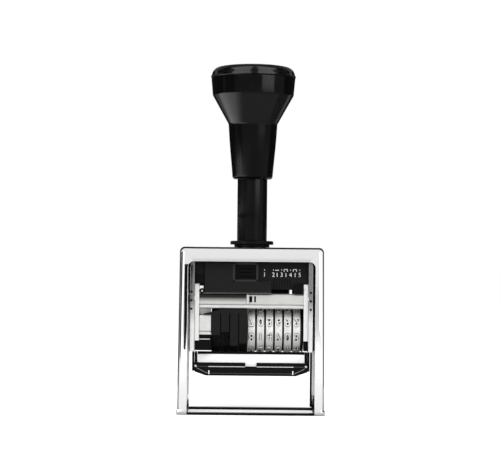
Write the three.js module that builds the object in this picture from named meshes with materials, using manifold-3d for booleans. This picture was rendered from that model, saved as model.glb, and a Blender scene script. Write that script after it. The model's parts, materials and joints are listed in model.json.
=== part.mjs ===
// Desk numbering machine with a palm grip. Pushing the grip slides a carriage down
// inside a chromed housing, swings the ink pad out behind the type wheels and brings
// the wheels to the paper; a spring inside the guide tube lifts it all again.
// Sizes are millimetres. X is to the right, Y towards the back, Z up, and the
// origin is the middle of the base, on the desk.
import * as THREE from "three";
import { mergeVertices } from "three/addons/utils/BufferGeometryUtils.js";
import Module from "manifold-3d";

const wasm = await Module();
wasm.setup();

// Clearances
const seatGap = 0.1; // between pieces that are fastened together
const runGap = 0.3; // between pieces that move past each other
const boreGap = 0.25; // radial play of a round piece in its hole
const armGap = 0.25; // on each side of a pad arm
const windowGap = 0.7; // between the carriage and the housing's front and legs
const bottomGap = 2; // under the carriage at the end of its stroke
const collarGap = 2.6; // under the grip at the end of its stroke
const tubeGap = 2.4; // above the guide tube at the end of the stroke
const cutOver = 2; // how far a cut runs past the material
const mergeDistance = 1e-4;

// Facets round each kind of turned piece
const gripSides = 32;
const tubeSides = 24;
const smallSides = 12;
const nutSides = 6;
const cornerSteps = 3;

// Type wheels on their axle
const stroke = 29.6; // how far the type faces stand above the paper at rest
const axleY = -4;
const axleRadius = 2;
const typeReach = 13; // from the axle to the printing face's edge
const typeRelief = 0.9;
const wheelPitch = 4.55;
const wheelPlay = 0.1;
const drumWidth = 3.2;
const ratchetStep = 0.6; // from the drum's surface down to the ratchet's tips
const toothDepth = 1.2;
const typeHeight = 4.5;
const numberTypeWidth = 2.7;
const dateTypeWidth = 3.3;
const numberWheels = 6;
const numberCharacters = 10;
const dateCharacters = [10, 10, 12, 12];
const washerRadius = 5;
const washerThickness = 0.55;

// Spacer block left of the wheels
const blockWidth = 5.1;
const blockSideGap = 1.1;
const blockWheelGap = 0.15;
const blockDrop = 2.7; // below the axle
const blockRise = 7.1; // above the axle
const blockBackReach = 6;

// Side plates of the works
const plateThickness = 2.2;
const plateDrop = 5.6;
const plateRise = 22.8;
const plateStepDrop = 6.5; // from the plates' top
const plateSetback = 0.1; // behind the foremost type face
const plateLowerReach = 6.5;
const plateUpperReach = 17;
const bossRadius = 3;
const screwRadius = 1.5;
const screwHeadRadius = 2.4;
const screwHeadHeight = 1.1;
const screwSlotWidth = 0.6;
const screwFrontReach = 6;
const screwBackReach = 14.4;
const screwDrop = 3.4; // from the plates' top

// Guard blocks under the side plates
const guardHeight = 5;
const guardDepth = 6.9;
const guardBlockGap = 0.2;

// Bridge bar between the side plates, with a rolled lower lip and a shelf on top
const bridgeLipRise = 11.55; // from the axle to the lip's middle
const bridgeLipRadius = 1.1;
const bridgeLipReach = 0.5; // in front of the side plates
const bridgeSetback = 1.3;
const bridgeSheet = 1.2;
const bridgeHeight = 6.45;
const bridgeShelfReach = 3.9; // from the shelf's back edge to the axle
const bridgeSlotHalfWidth = 0.55;
const bridgeSlotTopGap = 0.6;
const bridgeSlotHeight = 3.8;
const bridgeSlotXs = [0.4, 2.4];

// Detent comb that keeps the number wheels from drifting
const combSheet = 0.5;
const combPlateHeight = 2.3;
const fingerWidth = 0.7;

// Shield in front of the date wheels, one finger to each wheel
const shieldThickness = 1;
const shieldLipGap = 0.25;
const shieldFingerRises = [10.1, 11.6, 5, 6.1]; // above the foot of the wheels
const shieldSlit = 0.35;
const shieldSlitDrop = 2.2;
const shieldHookInset = 1.2;
const shieldHookDrop = 2.8;
const shieldHookTip = 0.5;
const shieldHookRun = 9;

// Step selector: a slide on a scale bar, between two stops
const scaleGap = 2.3; // between the bridge bar and the scale bar
const scaleHeight = 14.6;
const scaleThickness = 1.7;
const scaleRibDepth = 0.4;
const scaleRibWidth = 0.5;
const scaleRibPitch = 1.35;
const scaleRibCount = 7;
const scaleRibLead = 1.1;
const scaleRibLift = 0.4;
const scaleRibHeight = 4.9;
const slideLeadIn = 2.6; // from the left side plate
const slideWidth = 33.6;
const slideLift = 0.2;
const slideTopDrop = 0.5;
const slideThickness = 1.9;
const slideStepWidth = 6.5;
const slideStepHeight = 6.2;
const slideWellDepth = 1.1;
const slideWellWidth = 10.5;
const slideWellSide = 1.2;
const slideWellFoot = 0.8;
const slideWellHead = 1.8;
const slideFlangeGap = 0.05;
const stopThickness = 1.4;
const leftStopInset = 0.3;
const leftStopLift = 4.8;
const leftStopHeight = 4.2;
const rightStopWidth = 5;
const rightStopHeight = 4.9;
const pinRadius = 1;
const pinSide = 1.5;
const pinTopGap = 0.2;

// Carriage: an inner drawn shell that slides in the housing
const carriageSheet = 1.2;
const carriageFlange = 2.6;
const carriageCrown = 2.5; // above the scale bar
const carriageHeadroom = 2.8; // from its top to the underside of the housing's top
const carriageWindowDrop = 4.3;
const carriageBackCutDrop = 20;
const carriageCorner = 2;
const carriageEdge = 1.8;
const carriageWindowCorner = 3;
const flangeHoleRadius = 0.45;
const flangeHoleRise = 18.8;
const flangeHolePitch = 4.25;
const flangeHoleCount = 3;

// Housing: a drawn steel shell, open at the bottom, with a window front and back
const housingSheet = 1.2;
const housingLegWidth = 4.2;
const housingDraftX = 0.8; // how much each side leans out towards the base
const housingDraftY = 0.4;
const housingCorner = 2.6;
const housingEdge = 2.4;
const housingBandHeight = 7.3;
const housingWindowCorner = 3;
const housingLipHeight = 2;
const housingLipReach = 0.5;

// Base ring: a flat plate round the printing window, riveted inside the housing
const ringThickness = 1.2;
const ringBar = 3.6;
const ringTabHeight = 5.6;
const ringTabHalfWidth = 4;
const ringTabReach = 7; // in front of the axle
const rivetRadius = 1.1;
const rivetHeadRadius = 1.9;
const rivetHeadHeight = 0.5;
const rivetZ = 4.4;

// Guide rails inside the housing walls
const railFrontReach = 1.5;
const railBackReach = 10;
const railBottom = 9;

// Guide tube with its collar, nut and bush, and the buffer that stops the carriage
const tubeRadius = 7.5;
const tubeWall = 1.2;
const collarReach = 3.5; // beyond the tube
const collarDisc = 1.9;
const collarNeckHeight = 1.5;
const collarNeckReach = 1.5;
const collarRound = 0.6;
const tubeNutReach = 2.7;
const tubeNutHeight = 1.9;
const bushHeight = 8.6;
const bufferGap = 1.8; // round the tube nut
const bufferWidth = 5;

// Push rod and grip
const rodRadius = 3;
const rodShoulder = 0.6;
const rodNutReach = 2.2;
const rodNutHeight = 2.3;
const rodThreadEnd = 0.6;
const gripFootWall = 2.2;
const gripWaistSwell = 2.1;
const gripShoulderSwell = 8.15;
const gripRimSwell = 1;
const gripShaftLength = 28;
const gripConeLength = 14;
const gripBandLength = 9.7;
const gripFoot = 0.6;
const gripWebThickness = 3.4; // the web that the rod pulls on
const gripNutWell = 8;
const gripNutWellDepth = 1.9;
const capRimReach = 0.4;
const capRimHeight = 0.5;
const capHeight = 7.1;
const capWellHeight = 2.2;
const capCrownDrops = [0.4, 2.4, 4.5];
const capCrownInsets = [11.6, 2.4, 0.9];
const seatWasherThickness = 0.8;

// Return spring, round the push rod inside the guide tube
const springCoilGap = 0.4; // between the rod and the wire's middle, less the wire
const springWire = 1.3;
const springTurns = 14;

// Ink pad, its swinging tray and arms, and the pins that follow the housing's slots
const trayWall = 1.2;
const trayHeight = 6.6;
const padStand = 3.4; // how far the pad stands out of its tray
const trayHalfDepth = 11;
const trayChamferWidth = 5.9;
const trayChamferHeight = 2;
const trayFloorThickness = 2.6;
const trayNotchHalfWidth = 2.8;
const trayNotchDepth = 1.9;
const earHeight = 5.1;
const earHalfDepth = 4;
const feltThickness = 0.8;
const armThickness = 1;
const armHalfWidth = 4;
const armHubRadius = 4.6;
const lugHalfWidth = 2.3;
const followerRadius = 1.2;
const followerReach = 12.5; // from the axle to the follower pin
const clipWire = 0.8;
const clipTopDrop = 1.7;
const clipFootLift = 1.1;
const clipFootInset = 0.9;
const clipTopInset = 0.6;

// Pawl comb behind the wheels, on its own shaft with a torsion spring
const pawlBackReach = 9.5;
const pawlRise = 19.2;
const pawlShaftRadius = 1.6;
const pawlHubWall = 1;
const pawlTipRise = 60; // degrees above the level line through the axle
const pawlHalfThickness = 0.65;
const pawlSpringWire = 0.8;
const pawlSpringTurns = 6;
const pawlSpringLength = 8.5;
const pawlSpringGap = 1.2;

// Motion, in degrees
const padSwing = 95;
const followerStart = 190; // from straight down, turning back and up
const degrees = Math.PI / 180;

// Wheels and block, from left to right between the side plates
const dateWheels = dateCharacters.length;
const axleZ = stroke + typeReach;
const drumRadius = typeReach - typeRelief;
const ratchetTip = drumRadius - ratchetStep;
const ratchetRoot = ratchetTip - toothDepth;
const ratchetWidth = wheelPitch - wheelPlay - drumWidth;
const rowWidth = (numberWheels + dateWheels) * wheelPitch;
const washerSpace = wheelPlay + washerThickness + seatGap;
const plateInner = (blockSideGap + blockWidth + blockWheelGap + rowWidth + washerSpace) / 2;
const blockLeft = blockSideGap - plateInner;
const blockRight = blockLeft + blockWidth;
const dateLeftX = blockRight + blockWheelGap;
const wheelsLeftX = dateLeftX + dateWheels * wheelPitch;
const wheelsRightX = wheelsLeftX + numberWheels * wheelPitch;
const blockBottom = axleZ - blockDrop;
const blockTop = axleZ + blockRise;
const blockBack = axleY + blockBackReach;

// Works, outwards from the wheels
const plateOuter = plateInner + plateThickness;
const plateFront = axleY - typeReach + plateSetback;
const plateLowerBack = axleY + plateLowerReach;
const plateBack = axleY + plateUpperReach;
const plateBottom = axleZ - plateDrop;
const plateTop = axleZ + plateRise;
const plateStepZ = plateTop - plateStepDrop;
const screwFrontY = axleY - screwFrontReach;
const screwBackY = axleY + screwBackReach;
const screwZ = plateTop - screwDrop;
const guardBottom = plateBottom - guardHeight;
const guardBack = plateFront + guardDepth;
const guardInnerLeft = guardBlockGap - blockRight;
const guardInnerRight = plateInner;
const bridgeLipZ = axleZ + bridgeLipRise;
const bridgeLipY = plateFront - bridgeLipReach;
const bridgeBack = plateFront + bridgeSetback;
const bridgeTop = bridgeLipZ + bridgeHeight;
const bridgeShelfBack = axleY - bridgeShelfReach;
const bridgeSlotTop = bridgeTop - bridgeSlotTopGap;
const bridgeSlotBottom = bridgeSlotTop - bridgeSlotHeight;
const combPlateBottom = bridgeTop - bridgeSheet - seatGap - combPlateHeight;
const combTipReach = drumRadius;
const shieldTop = bridgeLipZ - bridgeLipRadius - shieldLipGap;
const shieldFingerEnds = shieldFingerRises.map((rise) => stroke + rise);
const shieldSlitTop = shieldTop - shieldSlitDrop;
const shieldHookX = blockLeft + shieldHookInset;
const shieldHookUnderZ = shieldTop - shieldHookDrop;
const shieldHookTipZ = shieldHookUnderZ + shieldHookTip;
const shieldHookRiseX = shieldHookX + shieldHookRun;
const pawlY = axleY + pawlBackReach;
const pawlZ = axleZ + pawlRise;
const pawlHubRadius = pawlShaftRadius + pawlHubWall;
const pawlTipReach = ratchetTip + runGap;

// Step selector, up from the bridge bar
const scaleFront = plateFront;
const scaleBottom = bridgeTop + scaleGap;
const scaleTop = scaleBottom + scaleHeight;
const scaleRibBottom = scaleBottom + scaleRibLift;
const scaleRibTop = scaleRibBottom + scaleRibHeight;
const slideLeft = slideLeadIn - plateInner;
const slideRight = slideLeft + slideWidth;
const slideBottom = bridgeTop + slideLift;
const slideTop = scaleTop - slideTopDrop;
const slideStepX = slideRight - slideStepWidth;
const slideStepZ = slideBottom + slideStepHeight;
const slideWellRight = slideStepX - slideWellSide;
const slideWellLeft = slideWellRight - slideWellWidth;
const slideWellBottom = slideStepZ + slideWellFoot;
const slideWellTop = slideTop - slideWellHead;
const scaleRibFirstX = slideRight + scaleRibLead;
const leftStopLeft = leftStopInset - plateOuter;
const leftStopBottom = slideBottom + leftStopLift;
const leftStopTop = leftStopBottom + leftStopHeight;
const rightStopRight = plateInner - seatGap;
const rightStopLeft = rightStopRight - rightStopWidth;
const rightStopBottom = slideBottom;
const rightStopTop = rightStopBottom + rightStopHeight;
const pinX = rightStopLeft - pinSide;
const pinTop = scaleBottom - pinTopGap;

// Carriage round the works
const armInner = plateOuter + armGap;
const armOuter = armInner + armThickness;
const carriageInnerHalfWidth = armOuter + armGap;
const carriageHalfWidth = carriageInnerHalfWidth + carriageSheet;
const slideFrontReach = slideThickness + runGap / 2 - scaleFront;
const carriageHalfDepth = slideFrontReach + slideFlangeGap + carriageSheet;
const carriageWindowHalfWidth = carriageHalfWidth - carriageFlange;
const carriageBottom = stroke + bottomGap;
const carriageTop = scaleTop + carriageCrown;
const carriageWindowTop = carriageTop - carriageWindowDrop;
const carriageBackCutTop = carriageTop - carriageBackCutDrop;
const flangeHoleTopZ = axleZ + flangeHoleRise;

// Housing round the carriage
const housingUnderTop = carriageTop + carriageHeadroom;
const housingHeight = housingUnderTop + housingSheet;
const housingWindowHalfWidth = carriageHalfWidth + windowGap;
const housingWindowTop = housingHeight - housingBandHeight;
const housingTopHalfWidth = housingWindowHalfWidth + housingLegWidth;
const housingBaseHalfWidth = housingTopHalfWidth + housingDraftX;
const housingTopHalfDepth = carriageHalfDepth + windowGap + housingSheet;
const housingBaseHalfDepth = housingTopHalfDepth + housingDraftY;
const ringTabY = axleY - ringTabReach;
const railFront = axleY + railFrontReach;
const railBack = axleY + railBackReach;

// Tube, grip and rod above it
const collarTop = housingHeight + collarNeckHeight + collarDisc;
const collarRadius = tubeRadius + collarReach;
const collarNeckRadius = tubeRadius + collarNeckReach;
const tubeNutRadius = tubeRadius + tubeNutReach;
const bufferInner = tubeNutRadius + bufferGap;
const bufferOuter = bufferInner + bufferWidth;
const bushTop = housingHeight + bushHeight;
const gripBore = tubeRadius + boreGap;
const gripBottomRadius = gripBore + gripFootWall;
const gripWaistRadius = gripBottomRadius + gripWaistSwell;
const gripShoulderRadius = gripWaistRadius + gripShoulderSwell;
const gripRimRadius = gripShoulderRadius + gripRimSwell;
const gripBottom = collarTop + stroke + collarGap;
const gripWaistZ = gripBottom + gripShaftLength;
const gripShoulderZ = gripWaistZ + gripConeLength;
const gripRimZ = gripShoulderZ + gripBandLength;
const gripTopZ = gripRimZ + capHeight;
const gripWebTop = gripRimZ - gripNutWellDepth;
const gripWebBottom = gripWebTop - gripWebThickness;
const tubeTop = gripWebBottom - stroke - tubeGap;
const capRimRadius = gripRimRadius + capRimReach;
const rodThreadRadius = rodRadius - rodShoulder;
const rodNutRadius = rodThreadRadius + rodNutReach;
const springCoilRadius = rodRadius + springCoilGap + springWire;

// Ink pad, down from the foot of the wheels
const trayHalfWidth = plateOuter;
const trayTop = stroke - runGap - padStand;
const trayBottom = trayTop - trayHeight;
const trayChamferX = trayHalfWidth - trayChamferWidth;
const trayChamferZ = trayBottom + trayChamferHeight;
const trayFloor = trayBottom + trayFloorThickness;
const earTop = trayTop + earHeight;
const followerEndX = housingTopHalfWidth - seatGap;
const clipTopZ = trayTop - clipTopDrop;
const clipFootZ = trayBottom + clipFootLift;
const clipFootX = trayChamferX - clipFootInset;
const clipTopX = trayHalfWidth - clipTopInset;

// Materials
const finish = (color, roughness, metalness) =>
  new THREE.MeshStandardMaterial({ color, roughness, metalness });
const chrome = finish(0xd9dcdc, 0.1, 1);
const steel = finish(0xc4c6c6, 0.3, 1);
const springSteel = finish(0x8d9092, 0.35, 1);
const typeMetal = finish(0xbfc0bd, 0.35, 1);
const glossBlack = finish(0x121213, 0.3, 0);
const satinBlack = finish(0x1b1b1d, 0.5, 0);
const blackSteel = finish(0x141416, 0.35, 0.6);
const rubber = finish(0x1a1a1a, 0.9, 0);
const padWhite = finish(0xf2f2ef, 0.8, 0);
const inkBlack = finish(0x0d0d10, 0.7, 0);

// A closed three.js geometry as a solid that can be cut and joined.
function solidOf(geometry) {
  const bare = geometry.clone();
  bare.deleteAttribute("normal");
  bare.deleteAttribute("uv");
  const merged = mergeVertices(bare, mergeDistance);
  return new wasm.Manifold(
    new wasm.Mesh({
      numProp: 3,
      vertProperties: merged.attributes.position.array,
      triVerts: new Uint32Array(merged.index.array),
    }),
  );
}

// A solid as a flat-shaded three.js geometry.
function geometryOf(solid) {
  const mesh = solid.getMesh();
  const count = mesh.vertProperties.length / mesh.numProp;
  const places = new Float32Array(3 * count);
  for (let i = 0; i < count; i++) {
    const first = i * mesh.numProp;
    places.set(mesh.vertProperties.subarray(first, first + 3), 3 * i);
  }
  const indexed = new THREE.BufferGeometry();
  indexed.setAttribute("position", new THREE.BufferAttribute(places, 3));
  indexed.setIndex(new THREE.BufferAttribute(mesh.triVerts, 1));
  const flat = indexed.toNonIndexed();
  flat.computeVertexNormals();
  return flat;
}

const joined = (solids) => solids.reduce((whole, next) => whole.add(next));
const cutBy = (body, tools) => tools.reduce((left, tool) => left.subtract(tool), body);

// Flat outlines, in the two axes of the plane that they are drawn in
function outline(points) {
  return new THREE.Shape(points.map(([u, v]) => new THREE.Vector2(u, v)));
}

function rectangle(u0, v0, u1, v1) {
  return outline([
    [u0, v0],
    [u1, v0],
    [u1, v1],
    [u0, v1],
  ]);
}

function disc(u, v, radius) {
  const shape = new THREE.Shape();
  shape.absarc(u, v, radius, 0, 2 * Math.PI, false);
  return shape;
}

// A window with square lower corners and round upper ones.
function archway(halfWidth, bottom, top, corner) {
  const shape = new THREE.Shape();
  shape.moveTo(-halfWidth, bottom);
  shape.lineTo(halfWidth, bottom);
  shape.lineTo(halfWidth, top - corner);
  shape.absarc(halfWidth - corner, top - corner, corner, 0, Math.PI / 2, false);
  shape.absarc(corner - halfWidth, top - corner, corner, Math.PI / 2, Math.PI, false);
  shape.closePath();
  return shape;
}

// A band of even width with round ends along a line of points.
function slotAlong(centres, halfWidth) {
  const capSteps = 4;
  const points = centres.map(([u, v]) => new THREE.Vector2(u, v));
  const last = points.length - 1;
  const headings = points.map((point, i) => {
    const before = points[Math.max(i - 1, 0)];
    const after = points[Math.min(i + 1, last)];
    return Math.atan2(after.y - before.y, after.x - before.x);
  });
  const reach = (i, angle) => [
    points[i].x + halfWidth * Math.cos(angle),
    points[i].y + halfWidth * Math.sin(angle),
  ];
  const quarter = Math.PI / 2;
  const edge = [];
  for (let i = 0; i <= last; i++) edge.push(reach(i, headings[i] - quarter));
  for (let k = 1; k < capSteps; k++) {
    edge.push(reach(last, headings[last] - quarter + (Math.PI * k) / capSteps));
  }
  for (let i = last; i >= 0; i--) edge.push(reach(i, headings[i] + quarter));
  for (let k = 1; k < capSteps; k++) {
    edge.push(reach(0, headings[0] + quarter + (Math.PI * k) / capSteps));
  }
  return outline(edge);
}

// An outline pushed along one axis of the part
function extruded(shape, depth) {
  return new THREE.ExtrudeGeometry(shape, { depth, bevelEnabled: false, curveSegments: 8 });
}

// The outline is drawn in Y and Z.
function alongX(shape, from, to) {
  const turn = new THREE.Matrix4().makeBasis(
    new THREE.Vector3(0, 1, 0),
    new THREE.Vector3(0, 0, 1),
    new THREE.Vector3(1, 0, 0),
  );
  return solidOf(extruded(shape, to - from).applyMatrix4(turn).translate(from, 0, 0));
}

// The outline is drawn in X and Z.
function alongY(shape, from, to) {
  return solidOf(extruded(shape, to - from).rotateX(Math.PI / 2).translate(0, to, 0));
}

// The outline is drawn in X and Y.
function alongZ(shape, from, to) {
  return solidOf(extruded(shape, to - from).translate(0, 0, from));
}

function block(x0, x1, y0, y1, z0, z1) {
  const box = new THREE.BoxGeometry(x1 - x0, y1 - y0, z1 - z0);
  return solidOf(box.translate((x0 + x1) / 2, (y0 + y1) / 2, (z0 + z1) / 2));
}

// The low and high ends of a stretch given by its distances from the middle plane.
const stretch = (side, inner, outer) => (side > 0 ? [inner, outer] : [-outer, -inner]);

// A profile of [radius, height] points turned about an upright axis.
function turnedGeometry(profile, sides) {
  const points = profile.map(([radius, height]) => new THREE.Vector2(radius, height));
  if (THREE.ShapeUtils.area(points) < 0) points.reverse();
  const first = points[0];
  if (points.every((point) => point.x > 0)) points.push(first.clone());
  return new THREE.LatheGeometry(points, sides);
}

function turned(profile, sides) {
  return solidOf(turnedGeometry(profile, sides).rotateX(Math.PI / 2));
}

// The same about an axis that runs along X through the given Y and Z.
function turnedAlongX(profile, sides, y, z) {
  return solidOf(turnedGeometry(profile, sides).rotateZ(-Math.PI / 2).translate(0, y, z));
}

const ringProfile = (inner, outer, from, to) => [
  [inner, from],
  [outer, from],
  [outer, to],
  [inner, to],
];
const rodProfile = (radius, from, to) => [
  [0, from],
  [radius, from],
  [radius, to],
  [0, to],
];
const uprightHole = (radius, from, to) => turned(rodProfile(radius, from, to), tubeSides);
const crossHole = (radius, from, to, y, z) =>
  turnedAlongX(rodProfile(radius, from, to), smallSides, y, z);

// A stack of rounded rectangles joined into one body.
function lofted(rings) {
  const count = 4 * (cornerSteps + 1);
  const places = [];
  for (const ring of rings) {
    for (let i = 0; i < count; i++) {
      const quadrant = Math.floor(i / (cornerSteps + 1));
      const step = i % (cornerSteps + 1);
      const angle = (quadrant + step / cornerSteps) * (Math.PI / 2);
      const signX = quadrant === 0 || quadrant === 3 ? 1 : -1;
      const signY = quadrant < 2 ? 1 : -1;
      places.push(
        signX * (ring.halfX - ring.corner) + ring.corner * Math.cos(angle),
        signY * (ring.halfY - ring.corner) + ring.corner * Math.sin(angle),
        ring.z,
      );
    }
  }
  const faces = [];
  for (let level = 0; level + 1 < rings.length; level++) {
    for (let i = 0; i < count; i++) {
      const a = level * count + i;
      const b = level * count + ((i + 1) % count);
      faces.push(a, b, b + count, a, b + count, a + count);
    }
  }
  const top = (rings.length - 1) * count;
  for (let i = 1; i + 1 < count; i++) {
    faces.push(0, i + 1, i);
    faces.push(top, top + i, top + i + 1);
  }
  const geometry = new THREE.BufferGeometry();
  geometry.setAttribute("position", new THREE.Float32BufferAttribute(places, 3));
  geometry.setIndex(faces);
  return solidOf(geometry);
}

// A drawn sheet-metal shell, closed on top and open below, without its windows.
function drawnShell(shell) {
  const height = shell.top - shell.bottom;
  const edgeSteps = 3;
  const halves = (z, inset) => {
    const share = Math.min(Math.max((z - shell.bottom) / height, 0), 1);
    return {
      z,
      halfX: THREE.MathUtils.lerp(shell.baseHalfX, shell.topHalfX, share) - inset,
      halfY: THREE.MathUtils.lerp(shell.baseHalfY, shell.topHalfY, share) - inset,
    };
  };
  const body = (inset, overrun, lips) => {
    const corner = shell.corner - inset;
    const edge = shell.edge - inset;
    const top = shell.top - inset;
    const rings = [{ ...halves(shell.bottom - overrun, inset), corner }];
    for (const lip of lips) rings.push({ ...halves(lip.z, inset - lip.reach), corner });
    if (lips.length) rings[0] = { ...halves(shell.bottom, -lips[0].reach), corner };
    for (let k = 0; k <= edgeSteps; k++) {
      const angle = (k / edgeSteps) * (Math.PI / 2);
      const drawnIn = edge * (1 - Math.cos(angle));
      const ring = halves(top - edge + edge * Math.sin(angle), inset + drawnIn);
      rings.push({ ...ring, corner: corner - drawnIn });
    }
    return lofted(rings);
  };
  return body(0, 0, shell.lips).subtract(body(shell.sheet, cutOver, []));
}

// The follower pin's place, seen from the axle, when the pad has swung by an angle.
function followerAt(swing) {
  const angle = (followerStart + swing) * degrees;
  return [followerReach * Math.sin(angle), -followerReach * Math.cos(angle)];
}

// Steps along the pad's swing, with the drop of the carriage that goes with each
function swingSteps(count) {
  return Array.from({ length: count + 1 }, (unused, i) => {
    const share = i / count;
    return { swing: padSwing * share, drop: stroke * share };
  });
}

// The slot that steers a follower pin, in the housing's walls
function camSlot() {
  const centres = swingSteps(12).map(({ swing, drop }) => {
    const [y, z] = followerAt(swing);
    return [axleY + y, axleZ + z - drop];
  });
  return slotAlong(centres, followerRadius + runGap);
}

// The arc that the same pin sweeps through the carriage's own wall
function carriageArc() {
  const centres = swingSteps(10).map(({ swing }) => {
    const [y, z] = followerAt(swing);
    return [axleY + y, axleZ + z];
  });
  return slotAlong(centres, followerRadius + runGap);
}

function housing() {
  const shell = drawnShell({
    bottom: 0,
    top: housingHeight,
    baseHalfX: housingBaseHalfWidth,
    topHalfX: housingTopHalfWidth,
    baseHalfY: housingBaseHalfDepth,
    topHalfY: housingTopHalfDepth,
    sheet: housingSheet,
    corner: housingCorner,
    edge: housingEdge,
    lips: [
      { z: housingLipHeight, reach: housingLipReach },
      { z: housingLipHeight + housingLipReach, reach: 0 },
    ],
  });
  const window = archway(
    housingWindowHalfWidth,
    -cutOver,
    housingWindowTop,
    housingWindowCorner,
  );
  const outside = housingBaseHalfWidth + cutOver;
  return cutBy(shell, [
    alongY(window, -housingBaseHalfDepth - cutOver, housingBaseHalfDepth + cutOver),
    alongX(camSlot(), -outside, outside),
    uprightHole(tubeRadius + boreGap, housingUnderTop - cutOver, housingHeight + cutOver),
    crossHole(rivetRadius + boreGap, -outside, outside, ringTabY, rivetZ),
  ]);
}

// The inner face of the housing's side wall at a height
function wallInside(z) {
  const share = z / housingHeight;
  const outside = THREE.MathUtils.lerp(housingBaseHalfWidth, housingTopHalfWidth, share);
  return outside - housingSheet;
}

function baseRing() {
  const halfX = housingBaseHalfWidth - housingSheet - runGap;
  const halfY = housingBaseHalfDepth - housingSheet - runGap;
  const sillHalfX = housingWindowHalfWidth - runGap;
  const tabOutside = wallInside(ringTabHeight) - seatGap;
  const tab = (side) => {
    const [from, to] = stretch(side, tabOutside - ringThickness, tabOutside);
    const edges = [ringTabY - ringTabHalfWidth, ringTabY + ringTabHalfWidth];
    return block(from, to, ...edges, 0, ringTabHeight);
  };
  const outer = { halfX, halfY, corner: housingCorner - housingSheet };
  const plate = joined([
    lofted([
      { ...outer, z: 0 },
      { ...outer, z: ringThickness },
    ]),
    block(
      -sillHalfX,
      sillHalfX,
      -housingBaseHalfDepth,
      housingBaseHalfDepth,
      0,
      ringThickness,
    ),
    tab(1),
    tab(-1),
  ]);
  const openX = halfX - ringBar;
  const openY = halfY - ringBar;
  const outside = housingBaseHalfWidth;
  return cutBy(plate, [
    block(-openX, openX, -openY, openY, -cutOver, ringThickness + cutOver),
    crossHole(rivetRadius + boreGap, -outside, outside, ringTabY, rivetZ),
  ]);
}

function baseRivet(side) {
  const outside = wallInside(rivetZ) + housingSheet;
  const inside = wallInside(ringTabHeight) - seatGap - ringThickness - seatGap;
  const profile = [
    [0, inside - rivetHeadHeight],
    [rivetHeadRadius, inside - rivetHeadHeight],
    [rivetHeadRadius, inside],
    [rivetRadius, inside],
    [rivetRadius, outside],
    [0, outside],
  ];
  const placed = profile.map(([radius, along]) => [radius, side * along]);
  return turnedAlongX(placed, smallSides, ringTabY, rivetZ);
}

function guideRail(side) {
  const top = housingWindowTop;
  const inner = carriageHalfWidth + runGap;
  const points = [
    [side * inner, railBottom],
    [side * (wallInside(railBottom) - seatGap), railBottom],
    [side * (wallInside(top) - seatGap), top],
    [side * inner, top],
  ];
  return alongY(outline(side > 0 ? points : points.reverse()), railFront, railBack);
}

function guideTube() {
  const bottom = housingUnderTop - tubeNutHeight - seatGap;
  const inner = tubeRadius - tubeWall;
  return turned(ringProfile(inner, tubeRadius, bottom, tubeTop), tubeSides);
}

function tubeCollar() {
  const inner = tubeRadius + boreGap;
  const bottom = housingHeight + seatGap;
  const discBottom = housingHeight + collarNeckHeight;
  const profile = [
    [inner, bottom],
    [collarNeckRadius, bottom],
    [collarNeckRadius, discBottom],
    [collarRadius - collarRound, discBottom],
    [collarRadius, discBottom + collarRound],
    [collarRadius, collarTop - collarRound],
    [collarRadius - collarRound, collarTop],
    [inner, collarTop],
  ];
  return turned(profile, tubeSides);
}

// A six-sided nut with a round hole
function hexNut(radius, holeRadius, bottom, height) {
  const hexagon = rodProfile(radius, bottom, bottom + height);
  const hole = uprightHole(holeRadius, bottom - cutOver, bottom + height + cutOver);
  return turned(hexagon, nutSides).subtract(hole);
}

function tubeNut() {
  const bottom = housingUnderTop - seatGap - tubeNutHeight;
  return hexNut(tubeNutRadius, tubeRadius + boreGap, bottom, tubeNutHeight);
}

function rodBush() {
  const inner = rodRadius + boreGap;
  const outer = tubeRadius - tubeWall - boreGap;
  const bottom = housingUnderTop - tubeNutHeight - seatGap;
  return turned(ringProfile(inner, outer, bottom, bushTop), tubeSides);
}

function stopBuffer() {
  const top = housingUnderTop - seatGap;
  const profile = ringProfile(bufferInner, bufferOuter, carriageTop + runGap, top);
  return turned(profile, tubeSides);
}

// The middle line of a coil that climbs from one height to another
function coilLine(radius, bottom, top, turns) {
  const stepsPerTurn = 8;
  const count = turns * stepsPerTurn;
  return Array.from({ length: count + 1 }, (unused, i) => {
    const angle = (i / stepsPerTurn) * 2 * Math.PI;
    const z = THREE.MathUtils.lerp(bottom, top, i / count);
    return new THREE.Vector3(radius * Math.cos(angle), radius * Math.sin(angle), z);
  });
}

// A round wire along a coil's middle line, closed at both ends.
function wireAlong(line, wire) {
  const sides = 5;
  const places = [];
  line.forEach((point, i) => {
    const before = line[Math.max(i - 1, 0)];
    const after = line[Math.min(i + 1, line.length - 1)];
    const along = after.clone().sub(before).normalize();
    const out = new THREE.Vector3(point.x, point.y, 0).normalize();
    const up = along.clone().cross(out).normalize();
    out.crossVectors(up, along);
    for (let k = 0; k < sides; k++) {
      const angle = (k / sides) * 2 * Math.PI;
      const offset = out.clone().multiplyScalar(Math.cos(angle));
      offset.addScaledVector(up, Math.sin(angle)).multiplyScalar(wire / 2);
      places.push(...point.clone().add(offset).toArray());
    }
  });
  const faces = [];
  for (let i = 0; i + 1 < line.length; i++) {
    for (let k = 0; k < sides; k++) {
      const a = i * sides + k;
      const b = i * sides + ((k + 1) % sides);
      faces.push(a, b, b + sides, a, b + sides, a + sides);
    }
  }
  const top = (line.length - 1) * sides;
  for (let k = 1; k + 1 < sides; k++) {
    faces.push(0, k + 1, k);
    faces.push(top, top + k, top + k + 1);
  }
  const geometry = new THREE.BufferGeometry();
  geometry.setAttribute("position", new THREE.Float32BufferAttribute(places, 3));
  geometry.setIndex(faces);
  return geometry;
}

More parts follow.
